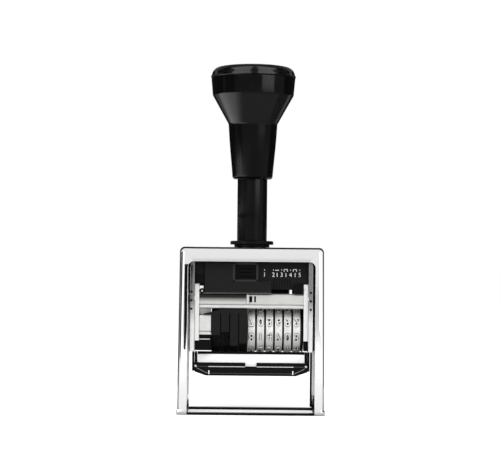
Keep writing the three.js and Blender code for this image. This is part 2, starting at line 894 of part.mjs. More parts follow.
// The least free gap between the turns of a coil, measured on its middle line
function leastGap(line, wire) {
  const halfTurn = 4;
  let least = Infinity;
  line.forEach((point, i) => {
    for (let j = i + halfTurn; j < line.length; j++) {
      least = Math.min(least, point.distanceTo(line[j]) - wire);
    }
  });
  return least;
}

function returnSpring() {
  const bottom = bushTop + springWire / 2 + runGap;
  const top = gripWebBottom - seatWasherThickness - springWire / 2 - 2 * runGap;
  const line = coilLine(springCoilRadius, bottom, top, springTurns);
  console.log("return spring, least gap", leastGap(line, springWire).toFixed(2), "mm");
  return solidOf(wireAlong(line, springWire));
}

function carriageFrame() {
  const shell = drawnShell({
    bottom: carriageBottom,
    top: carriageTop,
    baseHalfX: carriageHalfWidth,
    topHalfX: carriageHalfWidth,
    baseHalfY: carriageHalfDepth,
    topHalfY: carriageHalfDepth,
    sheet: carriageSheet,
    corner: carriageCorner,
    edge: carriageEdge,
    lips: [],
  });
  const window = archway(
    carriageWindowHalfWidth,
    carriageBottom - cutOver,
    carriageWindowTop,
    carriageWindowCorner,
  );
  const outside = carriageHalfWidth + cutOver;
  const behind = carriageHalfDepth + cutOver;
  const holes = [];
  const flangeMiddle = (carriageWindowHalfWidth + carriageHalfWidth) / 2;
  for (let i = 0; i < flangeHoleCount; i++) {
    for (const side of [-1, 1]) {
      const z = flangeHoleTopZ - i * flangeHolePitch;
      const hole = disc(side * flangeMiddle, z, flangeHoleRadius);
      holes.push(alongY(hole, -behind, cutOver - carriageHalfDepth));
    }
  }
  for (const y of [screwFrontY, screwBackY]) {
    holes.push(crossHole(screwRadius + boreGap, -outside, outside, y, screwZ));
  }
  return cutBy(shell, [
    alongY(window, -behind, behind),
    block(
      -carriageInnerHalfWidth,
      carriageInnerHalfWidth,
      carriageHalfDepth - carriageSheet - cutOver,
      behind,
      carriageBottom - cutOver,
      carriageBackCutTop,
    ),
    alongX(carriageArc(), -outside, outside),
    uprightHole(rodThreadRadius + boreGap, carriageTop - cutOver * 2, carriageTop + cutOver),
    ...holes,
  ]);
}

function pushRod() {
  const shoulder = carriageTop + seatGap;
  const threadBottom = carriageTop - carriageSheet - rodNutHeight - rodThreadEnd;
  const threadTop = gripWebTop + rodNutHeight + rodThreadEnd;
  const profile = [
    [0, threadBottom],
    [rodThreadRadius, threadBottom],
    [rodThreadRadius, shoulder],
    [rodRadius, shoulder],
    [rodRadius, gripWebBottom - seatGap],
    [rodThreadRadius, gripWebBottom - seatGap],
    [rodThreadRadius, threadTop],
    [0, threadTop],
  ];
  return turned(profile, smallSides);
}

function rodNut(bottom) {
  return hexNut(rodNutRadius, rodThreadRadius + boreGap, bottom, rodNutHeight);
}

function gripBody() {
  const wellRadius = gripNutWell;
  const profile = [
    [gripBore, gripBottom],
    [gripBottomRadius - gripFoot, gripBottom],
    [gripBottomRadius, gripBottom + gripFoot],
    [gripWaistRadius, gripWaistZ],
    [gripShoulderRadius, gripShoulderZ],
    [gripRimRadius, gripRimZ],
    [wellRadius, gripRimZ],
    [wellRadius, gripWebTop],
    [rodThreadRadius + boreGap, gripWebTop],
    [rodThreadRadius + boreGap, gripWebBottom],
    [gripBore, gripWebBottom],
  ];
  return turned(profile, gripSides);
}

function gripCap() {
  const bottom = gripRimZ + seatGap;
  const profile = [
    [0, bottom + capWellHeight],
    [gripNutWell, bottom + capWellHeight],
    [gripNutWell, bottom],
    [gripRimRadius, bottom],
    [capRimRadius, bottom + capRimHeight],
    [capRimRadius - capCrownInsets[2], gripTopZ - capCrownDrops[2]],
    [capRimRadius - capCrownInsets[1], gripTopZ - capCrownDrops[1]],
    [capRimRadius - capCrownInsets[0], gripTopZ - capCrownDrops[0]],
    [0, gripTopZ],
  ];
  return turned(profile, gripSides);
}

function springSeat() {
  const top = gripWebBottom - seatGap;
  const inner = rodRadius + boreGap;
  const outer = gripBore - boreGap;
  return turned(ringProfile(inner, outer, top - seatWasherThickness, top), tubeSides);
}

function sidePlate(side) {
  const profile = outline([
    [plateFront, plateBottom],
    [plateLowerBack, plateBottom],
    [plateLowerBack, plateStepZ],
    [plateBack, plateStepZ],
    [plateBack, plateTop],
    [plateFront, plateTop],
  ]);
  const [from, to] = stretch(side, plateInner, plateOuter);
  const bossEnd = carriageInnerHalfWidth - seatGap;
  const [bossFrom, bossTo] = stretch(side, plateInner, bossEnd);
  const [cutFrom, cutTo] = stretch(side, plateInner - cutOver, bossEnd + cutOver);
  const screwYs = [screwFrontY, screwBackY];
  const bosses = screwYs.map((y) =>
    turnedAlongX(rodProfile(bossRadius, bossFrom, bossTo), smallSides, y, screwZ),
  );
  return cutBy(joined([alongX(profile, from, to), ...bosses]), [
    crossHole(axleRadius + boreGap, cutFrom, cutTo, axleY, axleZ),
    crossHole(pawlShaftRadius + boreGap, cutFrom, cutTo, pawlY, pawlZ),
    ...screwYs.map((y) => crossHole(screwRadius + boreGap, cutFrom, cutTo, y, screwZ)),
  ]);
}

// A slotted screw through the carriage's wall into a side plate
function frameScrew(side, y) {
  const headFrom = carriageHalfWidth + seatGap;
  const headTo = headFrom + screwHeadHeight;
  const profile = [
    [0, plateInner + seatGap],
    [screwRadius, plateInner + seatGap],
    [screwRadius, headFrom],
    [screwHeadRadius, headFrom],
    [screwHeadRadius, headTo],
    [0, headTo],
  ].map(([radius, along]) => [radius, side * along]);
  const [slotFrom, slotTo] = stretch(side, headTo - screwHeadHeight / 2, headTo + cutOver);
  const slot = block(
    slotFrom,
    slotTo,
    y - screwHeadRadius - cutOver,
    y + screwHeadRadius + cutOver,
    screwZ - screwSlotWidth / 2,
    screwZ + screwSlotWidth / 2,
  );
  return turnedAlongX(profile, smallSides, y, screwZ).subtract(slot);
}

function bridgeBar() {
  const front = bridgeBack - bridgeSheet;
  const end = plateInner - seatGap;
  const section = outline([
    [front, bridgeLipZ],
    [bridgeBack, bridgeLipZ],
    [bridgeBack, bridgeTop - bridgeSheet],
    [bridgeShelfBack, bridgeTop - bridgeSheet],
    [bridgeShelfBack, bridgeTop],
    [front, bridgeTop],
  ]);
  const lip = turnedAlongX(
    rodProfile(bridgeLipRadius, -end, end),
    smallSides,
    bridgeLipY,
    bridgeLipZ,
  );
  const tie = block(
    -end,
    end,
    bridgeLipY,
    bridgeBack,
    bridgeLipZ - bridgeSheet / 2,
    bridgeLipZ + bridgeSheet / 2,
  );
  const slots = bridgeSlotXs.map((x) =>
    block(
      x - bridgeSlotHalfWidth,
      x + bridgeSlotHalfWidth,
      front - cutOver,
      bridgeBack + cutOver / 2,
      bridgeSlotBottom,
      bridgeSlotTop - bridgeSheet,
    ),
  );
  return cutBy(joined([alongX(section, -end, end), lip, tie]), slots);
}

function wheelAxle() {
  const end = carriageInnerHalfWidth - seatGap;
  return turnedAlongX(rodProfile(axleRadius, -end, end), smallSides, axleY, axleZ);
}

function spacerBlock() {
  const front = axleY - typeReach;
  const body = block(blockLeft, blockRight, front, blockBack, blockBottom, blockTop);
  return body.subtract(
    crossHole(axleRadius + boreGap, blockLeft - cutOver, blockRight + cutOver, axleY, axleZ),
  );
}

function axleWasher() {
  const from = wheelsRightX + wheelPlay;
  const profile = ringProfile(
    axleRadius + boreGap,
    washerRadius,
    from,
    plateInner - seatGap,
  );
  return turnedAlongX(profile, smallSides, axleY, axleZ);
}

function guardBlock(side) {
  const inner = side > 0 ? guardInnerRight : guardInnerLeft;
  const [from, to] = stretch(side, inner, plateOuter - seatGap);
  return block(from, to, plateFront, guardBack, guardBottom, plateBottom - seatGap);
}

function dateShield() {
  const back = axleY - typeReach - runGap;
  const points = [[wheelsLeftX - seatGap, shieldTop]];
  for (let i = dateWheels - 1; i >= 0; i--) {
    const left = dateLeftX + i * wheelPitch + shieldSlit / 2;
    const right = dateLeftX + (i + 1) * wheelPitch - shieldSlit / 2;
    points.push([i === dateWheels - 1 ? wheelsLeftX - seatGap : right, shieldFingerEnds[i]]);
    points.push([left, shieldFingerEnds[i]]);
    points.push([left, i ? shieldSlitTop : shieldHookUnderZ]);
    if (i) points.push([left - shieldSlit, shieldSlitTop]);
  }
  points.push([shieldHookX, shieldHookUnderZ]);
  points.push([shieldHookX, shieldHookTipZ]);
  points.push([shieldHookRiseX, shieldTop]);
  return alongY(outline(points.reverse()), back - shieldThickness, back);
}

function detentComb() {
  const back = bridgeShelfBack - combSheet;
  const top = bridgeTop - bridgeSheet - seatGap;
  const nearest = axleY - back;
  const tipZ = axleZ + Math.sqrt(combTipReach ** 2 - nearest ** 2);
  const plate = block(wheelsLeftX, wheelsRightX, back - combSheet, back, combPlateBottom, top);
  const fingers = Array.from({ length: numberWheels }, (unused, i) => {
    const middle = wheelsLeftX + i * wheelPitch + drumWidth + ratchetWidth / 2;
    return block(
      middle - fingerWidth / 2,
      middle + fingerWidth / 2,
      back - combSheet,
      back,
      tipZ,
      top,
    );
  });
  return joined([plate, ...fingers]);
}

// One row of raised faces round a drum, each as tall as a character
function typeFaces(count, from, to) {
  const flat = Math.sqrt(typeReach ** 2 - (typeHeight / 2) ** 2);
  const root = drumRadius * Math.cos(Math.PI / (2 * count)) - (typeReach - drumRadius);
  return Array.from({ length: count }, (unused, i) => {
    const face = new THREE.BoxGeometry(to - from, flat - root, typeHeight);
    face.translate((from + to) / 2, (flat + root) / 2, 0);
    face.rotateX(((i / count) * 2 - 0.5) * Math.PI);
    return solidOf(face.translate(0, axleY, axleZ));
  });
}

function drum(from, to, sides) {
  return turnedAlongX(rodProfile(drumRadius, from, to), sides, axleY, axleZ);
}

function ratchet(from, to) {
  const points = [];
  for (let i = 0; i < numberCharacters; i++) {
    const start = (i / numberCharacters) * 2 * Math.PI;
    points.push([
      axleY + ratchetTip * Math.cos(start),
      axleZ + ratchetTip * Math.sin(start),
    ]);
    points.push([
      axleY + ratchetRoot * Math.cos(start),
      axleZ + ratchetRoot * Math.sin(start),
    ]);
  }
  return alongX(outline(points), from, to);
}

function numberWheel(index) {
  const from = wheelsLeftX + index * wheelPitch + wheelPlay / 2;
  const drumEnd = from + drumWidth;
  const inset = (drumWidth - numberTypeWidth) / 2;
  const body = joined([
    drum(from, drumEnd, 2 * numberCharacters),
    ratchet(drumEnd, drumEnd + ratchetWidth),
    ...typeFaces(numberCharacters, from + inset, drumEnd - inset),
  ]);
  const bore = crossHole(axleRadius + boreGap, from - cutOver, from + 2 * wheelPitch, axleY, axleZ);
  return body.subtract(bore);
}

function dateWheel(index) {
  const count = dateCharacters[index];
  const from = dateLeftX + index * wheelPitch + wheelPlay / 2;
  const to = from + wheelPitch - wheelPlay;
  const inset = (wheelPitch - wheelPlay - dateTypeWidth) / 2;
  const body = joined([
    drum(from, to, 2 * count),
    ...typeFaces(count, from + inset, to - inset),
  ]);
  return body.subtract(
    crossHole(axleRadius + boreGap, from - cutOver, to + cutOver, axleY, axleZ),
  );
}

function pawlShaft() {
  const end = plateOuter - seatGap;
  return turnedAlongX(rodProfile(pawlShaftRadius, -end, end), smallSides, pawlY, pawlZ);
}

function pawlComb() {
  const from = wheelsLeftX;
  const to = plateInner - seatGap;
  const hub = turnedAlongX(rodProfile(pawlHubRadius, from, to), smallSides, pawlY, pawlZ);
  const rise = pawlTipRise * degrees;
  const tipY = axleY + pawlTipReach * Math.cos(rise) + pawlHalfThickness;
  const tipZ = axleZ + pawlTipReach * Math.sin(rise) + pawlHalfThickness;
  const finger = slotAlong([[pawlY, pawlZ], [tipY, tipZ]], pawlHalfThickness);
  const fingers = Array.from({ length: numberWheels }, (unused, i) => {
    const middle = wheelsLeftX + i * wheelPitch + drumWidth + ratchetWidth / 2;
    return alongX(finger, middle - fingerWidth / 2, middle + fingerWidth / 2);
  });
  return joined([hub, ...fingers]).subtract(
    crossHole(pawlShaftRadius + boreGap, from - cutOver, to + cutOver, pawlY, pawlZ),
  );
}

function pawlSpring() {
  const coilRadius = pawlShaftRadius + boreGap + pawlSpringWire / 2 + runGap;
  const end = wheelsLeftX - pawlSpringGap;
  const line = coilLine(coilRadius, end - pawlSpringLength, end, pawlSpringTurns);
  console.log("pawl spring, least gap", leastGap(line, pawlSpringWire).toFixed(2), "mm");
  const coil = wireAlong(line, pawlSpringWire).rotateY(Math.PI / 2);
  return solidOf(coil.translate(0, pawlY, pawlZ));
}

function scaleBar() {
  const low = plateInner - seatGap;
  const high = plateOuter - seatGap;
  const step = plateTop + seatGap;
  const face = outline([
    [-low, scaleBottom],
    [low, scaleBottom],
    [low, step],
    [high, step],
    [high, scaleTop],
    [-high, scaleTop],
    [-high, step],
    [-low, step],
  ]);
  const grooves = Array.from({ length: scaleRibCount }, (unused, i) => {
    const x = scaleRibFirstX + i * scaleRibPitch;
    return block(
      x,
      x + scaleRibWidth,
      scaleFront - cutOver,
      scaleFront + scaleRibDepth,
      scaleRibBottom,
      scaleRibTop,
    );
  });
  return cutBy(alongY(face, scaleFront, scaleFront + scaleThickness), grooves);
}

function slideStop(left, right, bottom, top) {
  const back = scaleFront - seatGap;
  return block(left, right, back - stopThickness, back, bottom, top);
}

function scalePin() {
  const bottom = bridgeTop + seatGap;
  const y = scaleFront + pinRadius;
  const pin = new THREE.CylinderGeometry(pinRadius, pinRadius, pinTop - bottom, smallSides);
  return solidOf(pin.rotateX(Math.PI / 2).translate(pinX, y, (pinTop + bottom) / 2));
}

function selectorSlide() {
  const face = outline([
    [slideLeft, slideBottom],
    [slideRight, slideBottom],
    [slideRight, slideStepZ],
    [slideStepX, slideStepZ],
    [slideStepX, slideTop],
    [slideLeft, slideTop],
  ]);
  const back = scaleFront - runGap / 2;
  const front = back - slideThickness;
  const well = block(
    slideWellLeft,
    slideWellRight,
    front - cutOver,
    front + slideWellDepth,
    slideWellBottom,
    slideWellTop,
  );
  return alongY(face, front, back).subtract(well);
}

function padTray() {
  const front = axleY - trayHalfDepth;
  const back = axleY + trayHalfDepth;
  const section = outline([
    [-trayHalfWidth, trayChamferZ],
    [-trayChamferX, trayBottom],
    [trayChamferX, trayBottom],
    [trayHalfWidth, trayChamferZ],
    [trayHalfWidth, trayTop],
    [-trayHalfWidth, trayTop],
  ]);
  const ears = [-1, 1].map((side) => {
    const [from, to] = stretch(side, trayHalfWidth - trayWall, trayHalfWidth);
    return block(from, to, axleY - earHalfDepth, axleY + earHalfDepth, trayFloor, earTop);
  });
  const inside = trayHalfWidth - trayWall;
  return cutBy(joined([alongY(section, front, back), ...ears]), [
    block(-inside, inside, front + trayWall, back - trayWall, trayFloor, earTop + cutOver),
    block(
      -trayNotchHalfWidth,
      trayNotchHalfWidth,
      front - cutOver,
      front + trayWall + cutOver,
      trayTop - trayNotchDepth,
      trayTop + cutOver,
    ),
  ]);
}

// How far the pad's own pieces reach inside the tray
function padReach() {
  return {
    halfX: trayHalfWidth - trayWall - runGap,
    halfY: trayHalfDepth - trayWall - runGap,
    feltTop: axleZ - typeReach - runGap,
  };
}

function padBlock() {
  const { halfX, halfY, feltTop } = padReach();
  const top = feltTop - feltThickness - seatGap;
  return block(-halfX, halfX, axleY - halfY, axleY + halfY, trayFloor + seatGap, top);
}

function inkFelt() {
  const { halfX, halfY, feltTop } = padReach();
  const bottom = feltTop - feltThickness;
  return block(-halfX, halfX, axleY - halfY, axleY + halfY, bottom, feltTop);
}

function padArm(side) {
  const [from, to] = stretch(side, armInner, armOuter);
  const [pinY, pinZ] = followerAt(0);
  const lug = slotAlong([[axleY, axleZ], [axleY + pinY, axleZ + pinZ]], lugHalfWidth);
  const leg = rectangle(axleY - armHalfWidth, trayChamferZ, axleY + armHalfWidth, axleZ);
  return cutBy(
    joined([
      turnedAlongX(rodProfile(armHubRadius, from, to), smallSides, axleY, axleZ),
      alongX(lug, from, to),
      alongX(leg, from, to),
    ]),
    [
      crossHole(axleRadius + boreGap, from - cutOver, to + cutOver, axleY, axleZ),
      crossHole(
        followerRadius + seatGap,
        from - cutOver,
        to + cutOver,
        axleY + pinY,
        axleZ + pinZ,
      ),
    ],
  );
}

function followerPin(side) {
  const [from, to] = stretch(side, armInner, followerEndX);
  const [pinY, pinZ] = followerAt(0);
  const profile = rodProfile(followerRadius, from, to);
  return turnedAlongX(profile, smallSides, axleY + pinY, axleZ + pinZ);
}

// A wire clip on the tray's front that runs from its end down to its foot
function padClip(side) {
  const half = clipWire / 2;
  const front = axleY - trayHalfDepth - seatGap;
  const centres = [
    [side * clipTopX, clipTopZ],
    [side * (clipFootX + clipWire), clipFootZ],
    [side * clipFootX, clipFootZ],
    [side * clipFootX, clipFootZ + 2 * clipWire],
  ];
  return alongY(slotAlong(centres, half), front - clipWire, front);
}

// The whole machine, one named mesh to each piece
const machine = new THREE.Group();

function place(group, name, solid, material) {
  const mesh = new THREE.Mesh(geometryOf(solid), material);
  mesh.name = name;
  group.add(mesh);
}

function addHousing() {
  const group = new THREE.Group();
  place(group, "housing", housing(), chrome);
  place(group, "base_ring", baseRing(), blackSteel);
  place(group, "base_rivet_left", baseRivet(-1), steel);
  place(group, "base_rivet_right", baseRivet(1), steel);
  place(group, "guide_rail_left", guideRail(-1), steel);
  place(group, "guide_rail_right", guideRail(1), steel);
  place(group, "guide_tube", guideTube(), satinBlack);
  place(group, "tube_collar", tubeCollar(), glossBlack);
  place(group, "tube_nut", tubeNut(), steel);
  place(group, "rod_bush", rodBush(), steel);
  place(group, "stop_buffer", stopBuffer(), rubber);
  place(group, "return_spring", returnSpring(), springSteel);
  machine.add(group);
}

function addGrip(group) {
  place(group, "push_rod", pushRod(), steel);
  const underTop = carriageTop - carriageSheet;
  place(group, "rod_nut", rodNut(underTop - seatGap - rodNutHeight), steel);
  place(group, "grip_nut", rodNut(gripWebTop + seatGap), steel);
  place(group, "spring_seat", springSeat(), steel);
  place(group, "grip_body", gripBody(), glossBlack);
  place(group, "grip_cap", gripCap(), glossBlack);
}

function addWorks(group) {
  for (const [word, side] of [["left", -1], ["right", 1]]) {
    place(group, "side_plate_" + word, sidePlate(side), steel);
    place(group, "guard_block_" + word, guardBlock(side), satinBlack);
    place(group, "frame_screw_front_" + word, frameScrew(side, screwFrontY), steel);
    place(group, "frame_screw_back_" + word, frameScrew(side, screwBackY), steel);
  }
  place(group, "bridge_bar", bridgeBar(), steel);
  place(group, "wheel_axle", wheelAxle(), steel);
  place(group, "spacer_block", spacerBlock(), steel);
  place(group, "axle_washer", axleWasher(), steel);
  place(group, "date_shield", dateShield(), satinBlack);
  place(group, "detent_comb", detentComb(), springSteel);
  place(group, "pawl_shaft", pawlShaft(), steel);
  place(group, "pawl_spring", pawlSpring(), springSteel);
}

function addSelector(group) {
  const leftStopRight = slideLeft - runGap;
  const leftStop = slideStop(leftStopLeft, leftStopRight, leftStopBottom, leftStopTop);
  const rightStop = slideStop(rightStopLeft, rightStopRight, rightStopBottom, rightStopTop);
  place(group, "scale_bar", scaleBar(), satinBlack);
  place(group, "slide_stop_left", leftStop, satinBlack);
  place(group, "slide_stop_right", rightStop, satinBlack);
  place(group, "scale_pin", scalePin(), steel);
}

function addCarriage() {
  const group = new THREE.Group();
  place(group, "carriage_frame", carriageFrame(), chrome);
  addGrip(group);
  addWorks(group);
  addSelector(group);
  machine.add(group);
}

function addMovingPieces() {
  place(machine, "selector_slide", selectorSlide(), satinBlack);
  place(machine, "pawl_comb", pawlComb(), blackSteel);
  for (let i = 0; i < numberWheels; i++) {
    place(machine, "number_wheel_" + (i + 1), numberWheel(i), typeMetal);
  }
  for (let i = 0; i < dateWheels; i++) {
    place(machine, "date_wheel_" + (i + 1), dateWheel(i), satinBlack);
  }
}

function addInkPad() {
  const group = new THREE.Group();
  place(group, "pad_tray", padTray(), blackSteel);
  place(group, "pad_block", padBlock(), padWhite);
  place(group, "ink_felt", inkFelt(), inkBlack);
  for (const [word, side] of [["left", -1], ["right", 1]]) {
    place(group, "pad_arm_" + word, padArm(side), blackSteel);
    place(group, "follower_pin_" + word, followerPin(side), steel);
    place(group, "pad_clip_" + word, padClip(side), steel);
  }
  machine.add(group);
}

addHousing();
addCarriage();
addMovingPieces();
addInkPad();

export default machine;
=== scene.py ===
import functools
import json
import math

import bmesh
import bpy
from mathutils import Matrix, Vector

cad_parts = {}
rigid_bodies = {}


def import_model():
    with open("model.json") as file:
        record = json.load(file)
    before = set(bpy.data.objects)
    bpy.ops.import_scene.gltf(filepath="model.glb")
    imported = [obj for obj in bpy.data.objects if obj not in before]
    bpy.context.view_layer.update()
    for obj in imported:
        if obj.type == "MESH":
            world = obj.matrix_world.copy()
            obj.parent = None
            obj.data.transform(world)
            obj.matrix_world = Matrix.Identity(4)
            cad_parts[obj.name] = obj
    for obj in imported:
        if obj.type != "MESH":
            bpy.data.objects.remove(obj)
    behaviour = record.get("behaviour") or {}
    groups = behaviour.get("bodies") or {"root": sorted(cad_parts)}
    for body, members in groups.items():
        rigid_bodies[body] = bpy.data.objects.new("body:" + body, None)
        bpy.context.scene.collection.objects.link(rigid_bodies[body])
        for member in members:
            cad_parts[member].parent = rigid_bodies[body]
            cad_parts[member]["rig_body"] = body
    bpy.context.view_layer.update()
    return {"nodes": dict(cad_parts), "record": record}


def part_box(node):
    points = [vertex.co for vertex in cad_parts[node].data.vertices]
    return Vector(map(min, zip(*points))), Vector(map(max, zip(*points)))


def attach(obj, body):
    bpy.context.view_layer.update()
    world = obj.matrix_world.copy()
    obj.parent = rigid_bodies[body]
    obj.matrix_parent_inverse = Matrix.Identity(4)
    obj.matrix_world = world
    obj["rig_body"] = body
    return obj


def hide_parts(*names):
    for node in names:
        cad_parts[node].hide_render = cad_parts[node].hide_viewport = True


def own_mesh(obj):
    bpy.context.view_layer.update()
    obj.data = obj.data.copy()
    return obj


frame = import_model()

MM = 0.001
SLOTS = {part["node"]: part["material_slot"] for part in frame["record"]["subparts"]}
SIDES = ((-1, "left"), (1, "right"))

# Sizes, in mm. A half is measured from the middle, and PAST is clear of every wall.

PAST = 45.0
STROKE = 29.6
AXLE_Y, AXLE_Z = -4.0, 42.6
AXLE = (AXLE_Y, AXLE_Z)
HOUSING_TOP, HOUSING_BASE_HALVES, HOUSING_TOP_HALVES = 84.0, (36.9, 22.5), (36.1, 22.1)
HOUSING_SHEET, HOUSING_CORNER, HOUSING_EDGE = 1.2, 2.6, 2.4
LIP_HEIGHT, LIP_REACH = 2.0, 0.5
WINDOW_HALF, WINDOW_TOP, WINDOW_CORNER = 31.9, 76.7, 3.0
RIVET_HOLE, RIVET_SPOT = 1.35, (-11.0, 4.4)
SCREW_HOLE, SCREW_SPOTS = 1.75, ((-10.0, 62.0), (10.4, 62.0))
TUBE_BORE, TUBE_RADIUS, TUBE_SEAT = 6.3, 7.6, 7.75
ROD_SEAT = 2.65
CARRIAGE_BOTTOM, CARRIAGE_TOP = 31.6, 80.0
CARRIAGE_X, CARRIAGE_Y, CARRIAGE_SHEET = 31.2, 20.2, 1.2
CARRIAGE_CORNER, CARRIAGE_EDGE = 0.8, 1.8
CARRIAGE_WINDOW_HALF, CARRIAGE_WINDOW_TOP = 28.6, 75.7
CARRIAGE_FRONT_TOP, CARRIAGE_BACK_TOP = 77.6, 60.0
FLANGE_HOLE, FLANGE_HEIGHTS = 0.45, (61.4, 57.15, 52.9)
FOLLOWER_REACH, FOLLOWER_START, PAD_SWING, SLOT_HALF = 12.5, 190.0, 95.0, 1.5
WORKS_HALF = 26.2
TYPE_REACH, TYPE_HEIGHT, DRUM_RADIUS, DRUM_BORE = 13.0, 4.1, 12.1, 2.25
FIGURE_SQUEEZE = 0.92
RATCHET_TIP, RATCHET_ROOT = 11.5, 10.3
WHEEL_PITCH, WHEEL_PLAY, DRUM_WIDTH = 4.55, 0.1, 3.65
NUMBERS_LEFT, DATES_LEFT = -1.75, -19.95
DATE_COUNTS = (10, 10, 12, 12)

# Materials


class Nodes:
    """A node tree under construction."""

    def __init__(self, owner):
        owner.use_nodes = True
        self.tree = owner.node_tree
        self.tree.nodes.clear()

    def add(self, kind, **values):
        """A new node, with what its inputs hold."""
        node = self.tree.nodes.new(kind)
        for name, value in values.items():
            node.inputs[name.replace("_", " ")].default_value = value
        return node

    def link(self, output, socket):
        self.tree.links.new(output, socket)

    def feed(self, value, socket):
        """Gives a socket the output of another node, or a plain value."""
        if isinstance(value, bpy.types.NodeSocket):
            self.link(value, socket)
        else:
            socket.default_value = value

    def show(self, output, kind="ShaderNodeOutputMaterial"):
        self.link(output, self.add(kind).inputs["Surface"])

    def place(self, source):
        """X, Y and Z of the place that is shaded."""
        split = self.add("ShaderNodeSeparateXYZ")
        self.link(self.add("ShaderNodeTexCoord").outputs[source], split.inputs[0])
        return split.outputs

    def maths(self, operation, first, second=0.5, clamp=False):
        node = self.add("ShaderNodeMath")
        node.operation, node.use_clamp = operation, clamp
        self.feed(first, node.inputs[0])
        self.feed(second, node.inputs[1])
        return node.outputs[0]

    def remap(self, value, start, end, low=0.0, high=1.0, smooth=False):
        """From low where the value is at its start to high where it is at its end."""
        node = self.add("ShaderNodeMapRange", From_Min=start, From_Max=end, To_Min=low, To_Max=high)
        node.interpolation_type = "SMOOTHSTEP" if smooth else "LINEAR"
        self.link(value, node.inputs["Value"])
        return node.outputs["Result"]


class Surface(Nodes):
    """A material of the object, under construction."""

    def __init__(self, name, **values):
        self.material = bpy.data.materials.new(name)
        super().__init__(self.material)
        self.shader = self.add("ShaderNodeBsdfPrincipled", **values)
        self.show(self.shader.outputs["BSDF"])
        self.coordinates = self.add("ShaderNodeTexCoord").outputs["Object"]

    def noise(self, size, stretch=(1, 1, 1), detail=3.0, distortion=0.0):
        """Noise whose features are about size mm across, longer where stretch is."""
        mapping = self.add("ShaderNodeMapping", Scale=[1 / (size * MM * s) for s in stretch])
        self.link(self.coordinates, mapping.inputs["Vector"])
        texture = self.add("ShaderNodeTexNoise", Scale=1.0, Detail=detail, Distortion=distortion)
        self.link(mapping.outputs["Vector"], texture.inputs["Vector"])
        return texture.outputs["Fac"]

    def spread(self, value, low, high):
        """Noise brought from its usual range to between two limits."""
        return self.remap(value, 0.3, 0.7, low, high)

    def height(self, low, high, axis="Z"):
        """From 0 at a low height to 1 at a high one, in mm at rest, or along X or Y."""
        return self.remap(self.place("Object")[axis], low * MM, high * MM)

    def open_faces(self, reach, start, end):
        """0 in hollows about reach mm wide and 1 on open faces: the mask by which materials paint shade into
        hollows, and on type also inking.
        """
        occlusion = self.add("ShaderNodeAmbientOcclusion", Distance=reach * MM)
        occlusion.samples = 8
        return self.remap(occlusion.outputs["AO"], start, end)

    def mixed(self, factor, first, second):
        mix = self.add("ShaderNodeMix")
        mix.data_type = "RGBA"
        self.link(factor, mix.inputs["Factor"])
        for socket, colour in zip((mix.inputs[6], mix.inputs[7]), (first, second)):
            self.feed((*colour, 1) if isinstance(colour, tuple) else colour, socket)
        return mix.outputs[2]

    def relief(self, height, depth, strength, under=None):
        """A bump whose depth is in mm, over another one where under is given."""
        bump = self.add("ShaderNodeBump", Strength=strength, Distance=depth * MM)
        self.link(height, bump.inputs["Height"])
        if under is not None:
            self.link(under, bump.inputs["Normal"])
        return bump.outputs["Normal"]

    def finished(self, colour, roughness, normal):
        for name, value in (("Base Color", colour), ("Roughness", roughness), ("Normal", normal)):
            self.link(value, self.shader.inputs[name])
        return self.material


def shade(colour, factor):
    return tuple(min(1.0, c * factor) for c in colour)


def grey(level):
    return (level, level, level)


def polished(name, colour, rough, wave, reach=6.0, dull=None):
    """Plated sheet: a clear mirror with faint waves and fine wiping marks, with painted shade
    in its narrow hollows, and darker towards the top where dull is given."""
    made = Surface(name, Metallic=1.0)
    marks = made.noise(0.5, (1, 1, 9), 4.0)
    plate = made.mixed(made.noise(9), shade(colour, 0.97), shade(colour, 1.02))
    if dull:
        plate = made.mixed(made.height(*dull), plate, shade(colour, 0.3))
    # Painted shade darkens the narrow hollows.
    return made.finished(
        made.mixed(made.open_faces(reach, 0.38, 0.74), grey(0.012), plate),
        made.spread(marks, rough * 0.8, rough * 1.5),
        made.relief(made.noise(26, detail=1.0), wave, 0.25, made.relief(marks, 0.0015, 0.5)),
    )


def machined(name, colour, rough=0.3, grain=(1, 1, 14), painted_shadow=None):
    """Steel with the marks of its last cut along one way, painted shade in its corners, and
    painted shade towards a height and a side, between the clear and the shaded ends given."""
    made = Surface(name, Metallic=1.0)
    marks = made.noise(0.16, grain, 5.0)
    steel = made.mixed(made.noise(3.0, detail=4.0), shade(colour, 0.92), shade(colour, 1.08))
    if painted_shadow:
        # Painted shade, darker towards a height and towards a side.
        shadow_mask = made.maths("MULTIPLY", made.height(*painted_shadow[0]), made.height(*painted_shadow[1], "X"))
        steel = made.mixed(shadow_mask, steel, shade(colour, 0.05))
    # Painted shade darkens the corners.
    return made.finished(
        made.mixed(made.open_faces(1.6, 0.25, 0.7), grey(0.02), steel),
        made.spread(marks, rough * 0.75, rough * 1.35),
        made.relief(marks, 0.004, 0.6),
    )


def cast_type(name, colour, ink_and_shade, rough, metallic, specular=0.5):
    """Type metal, inked and with painted shade dark in its hollows, and rubbed bright on its faces."""
    made = Surface(name, Metallic=metallic, Specular_IOR_Level=specular)
    patches = made.noise(1.4, detail=4.0)
    rubbed = made.mixed(patches, shade(colour, 0.8), shade(colour, 1.1))
    return made.finished(
        made.mixed(made.open_faces(1.3, 0.5, 0.9), ink_and_shade, rubbed),
        made.spread(patches, rough * 0.8, rough * 1.3),
        made.relief(made.noise(0.22, detail=4.0), 0.012, 0.5),
    )


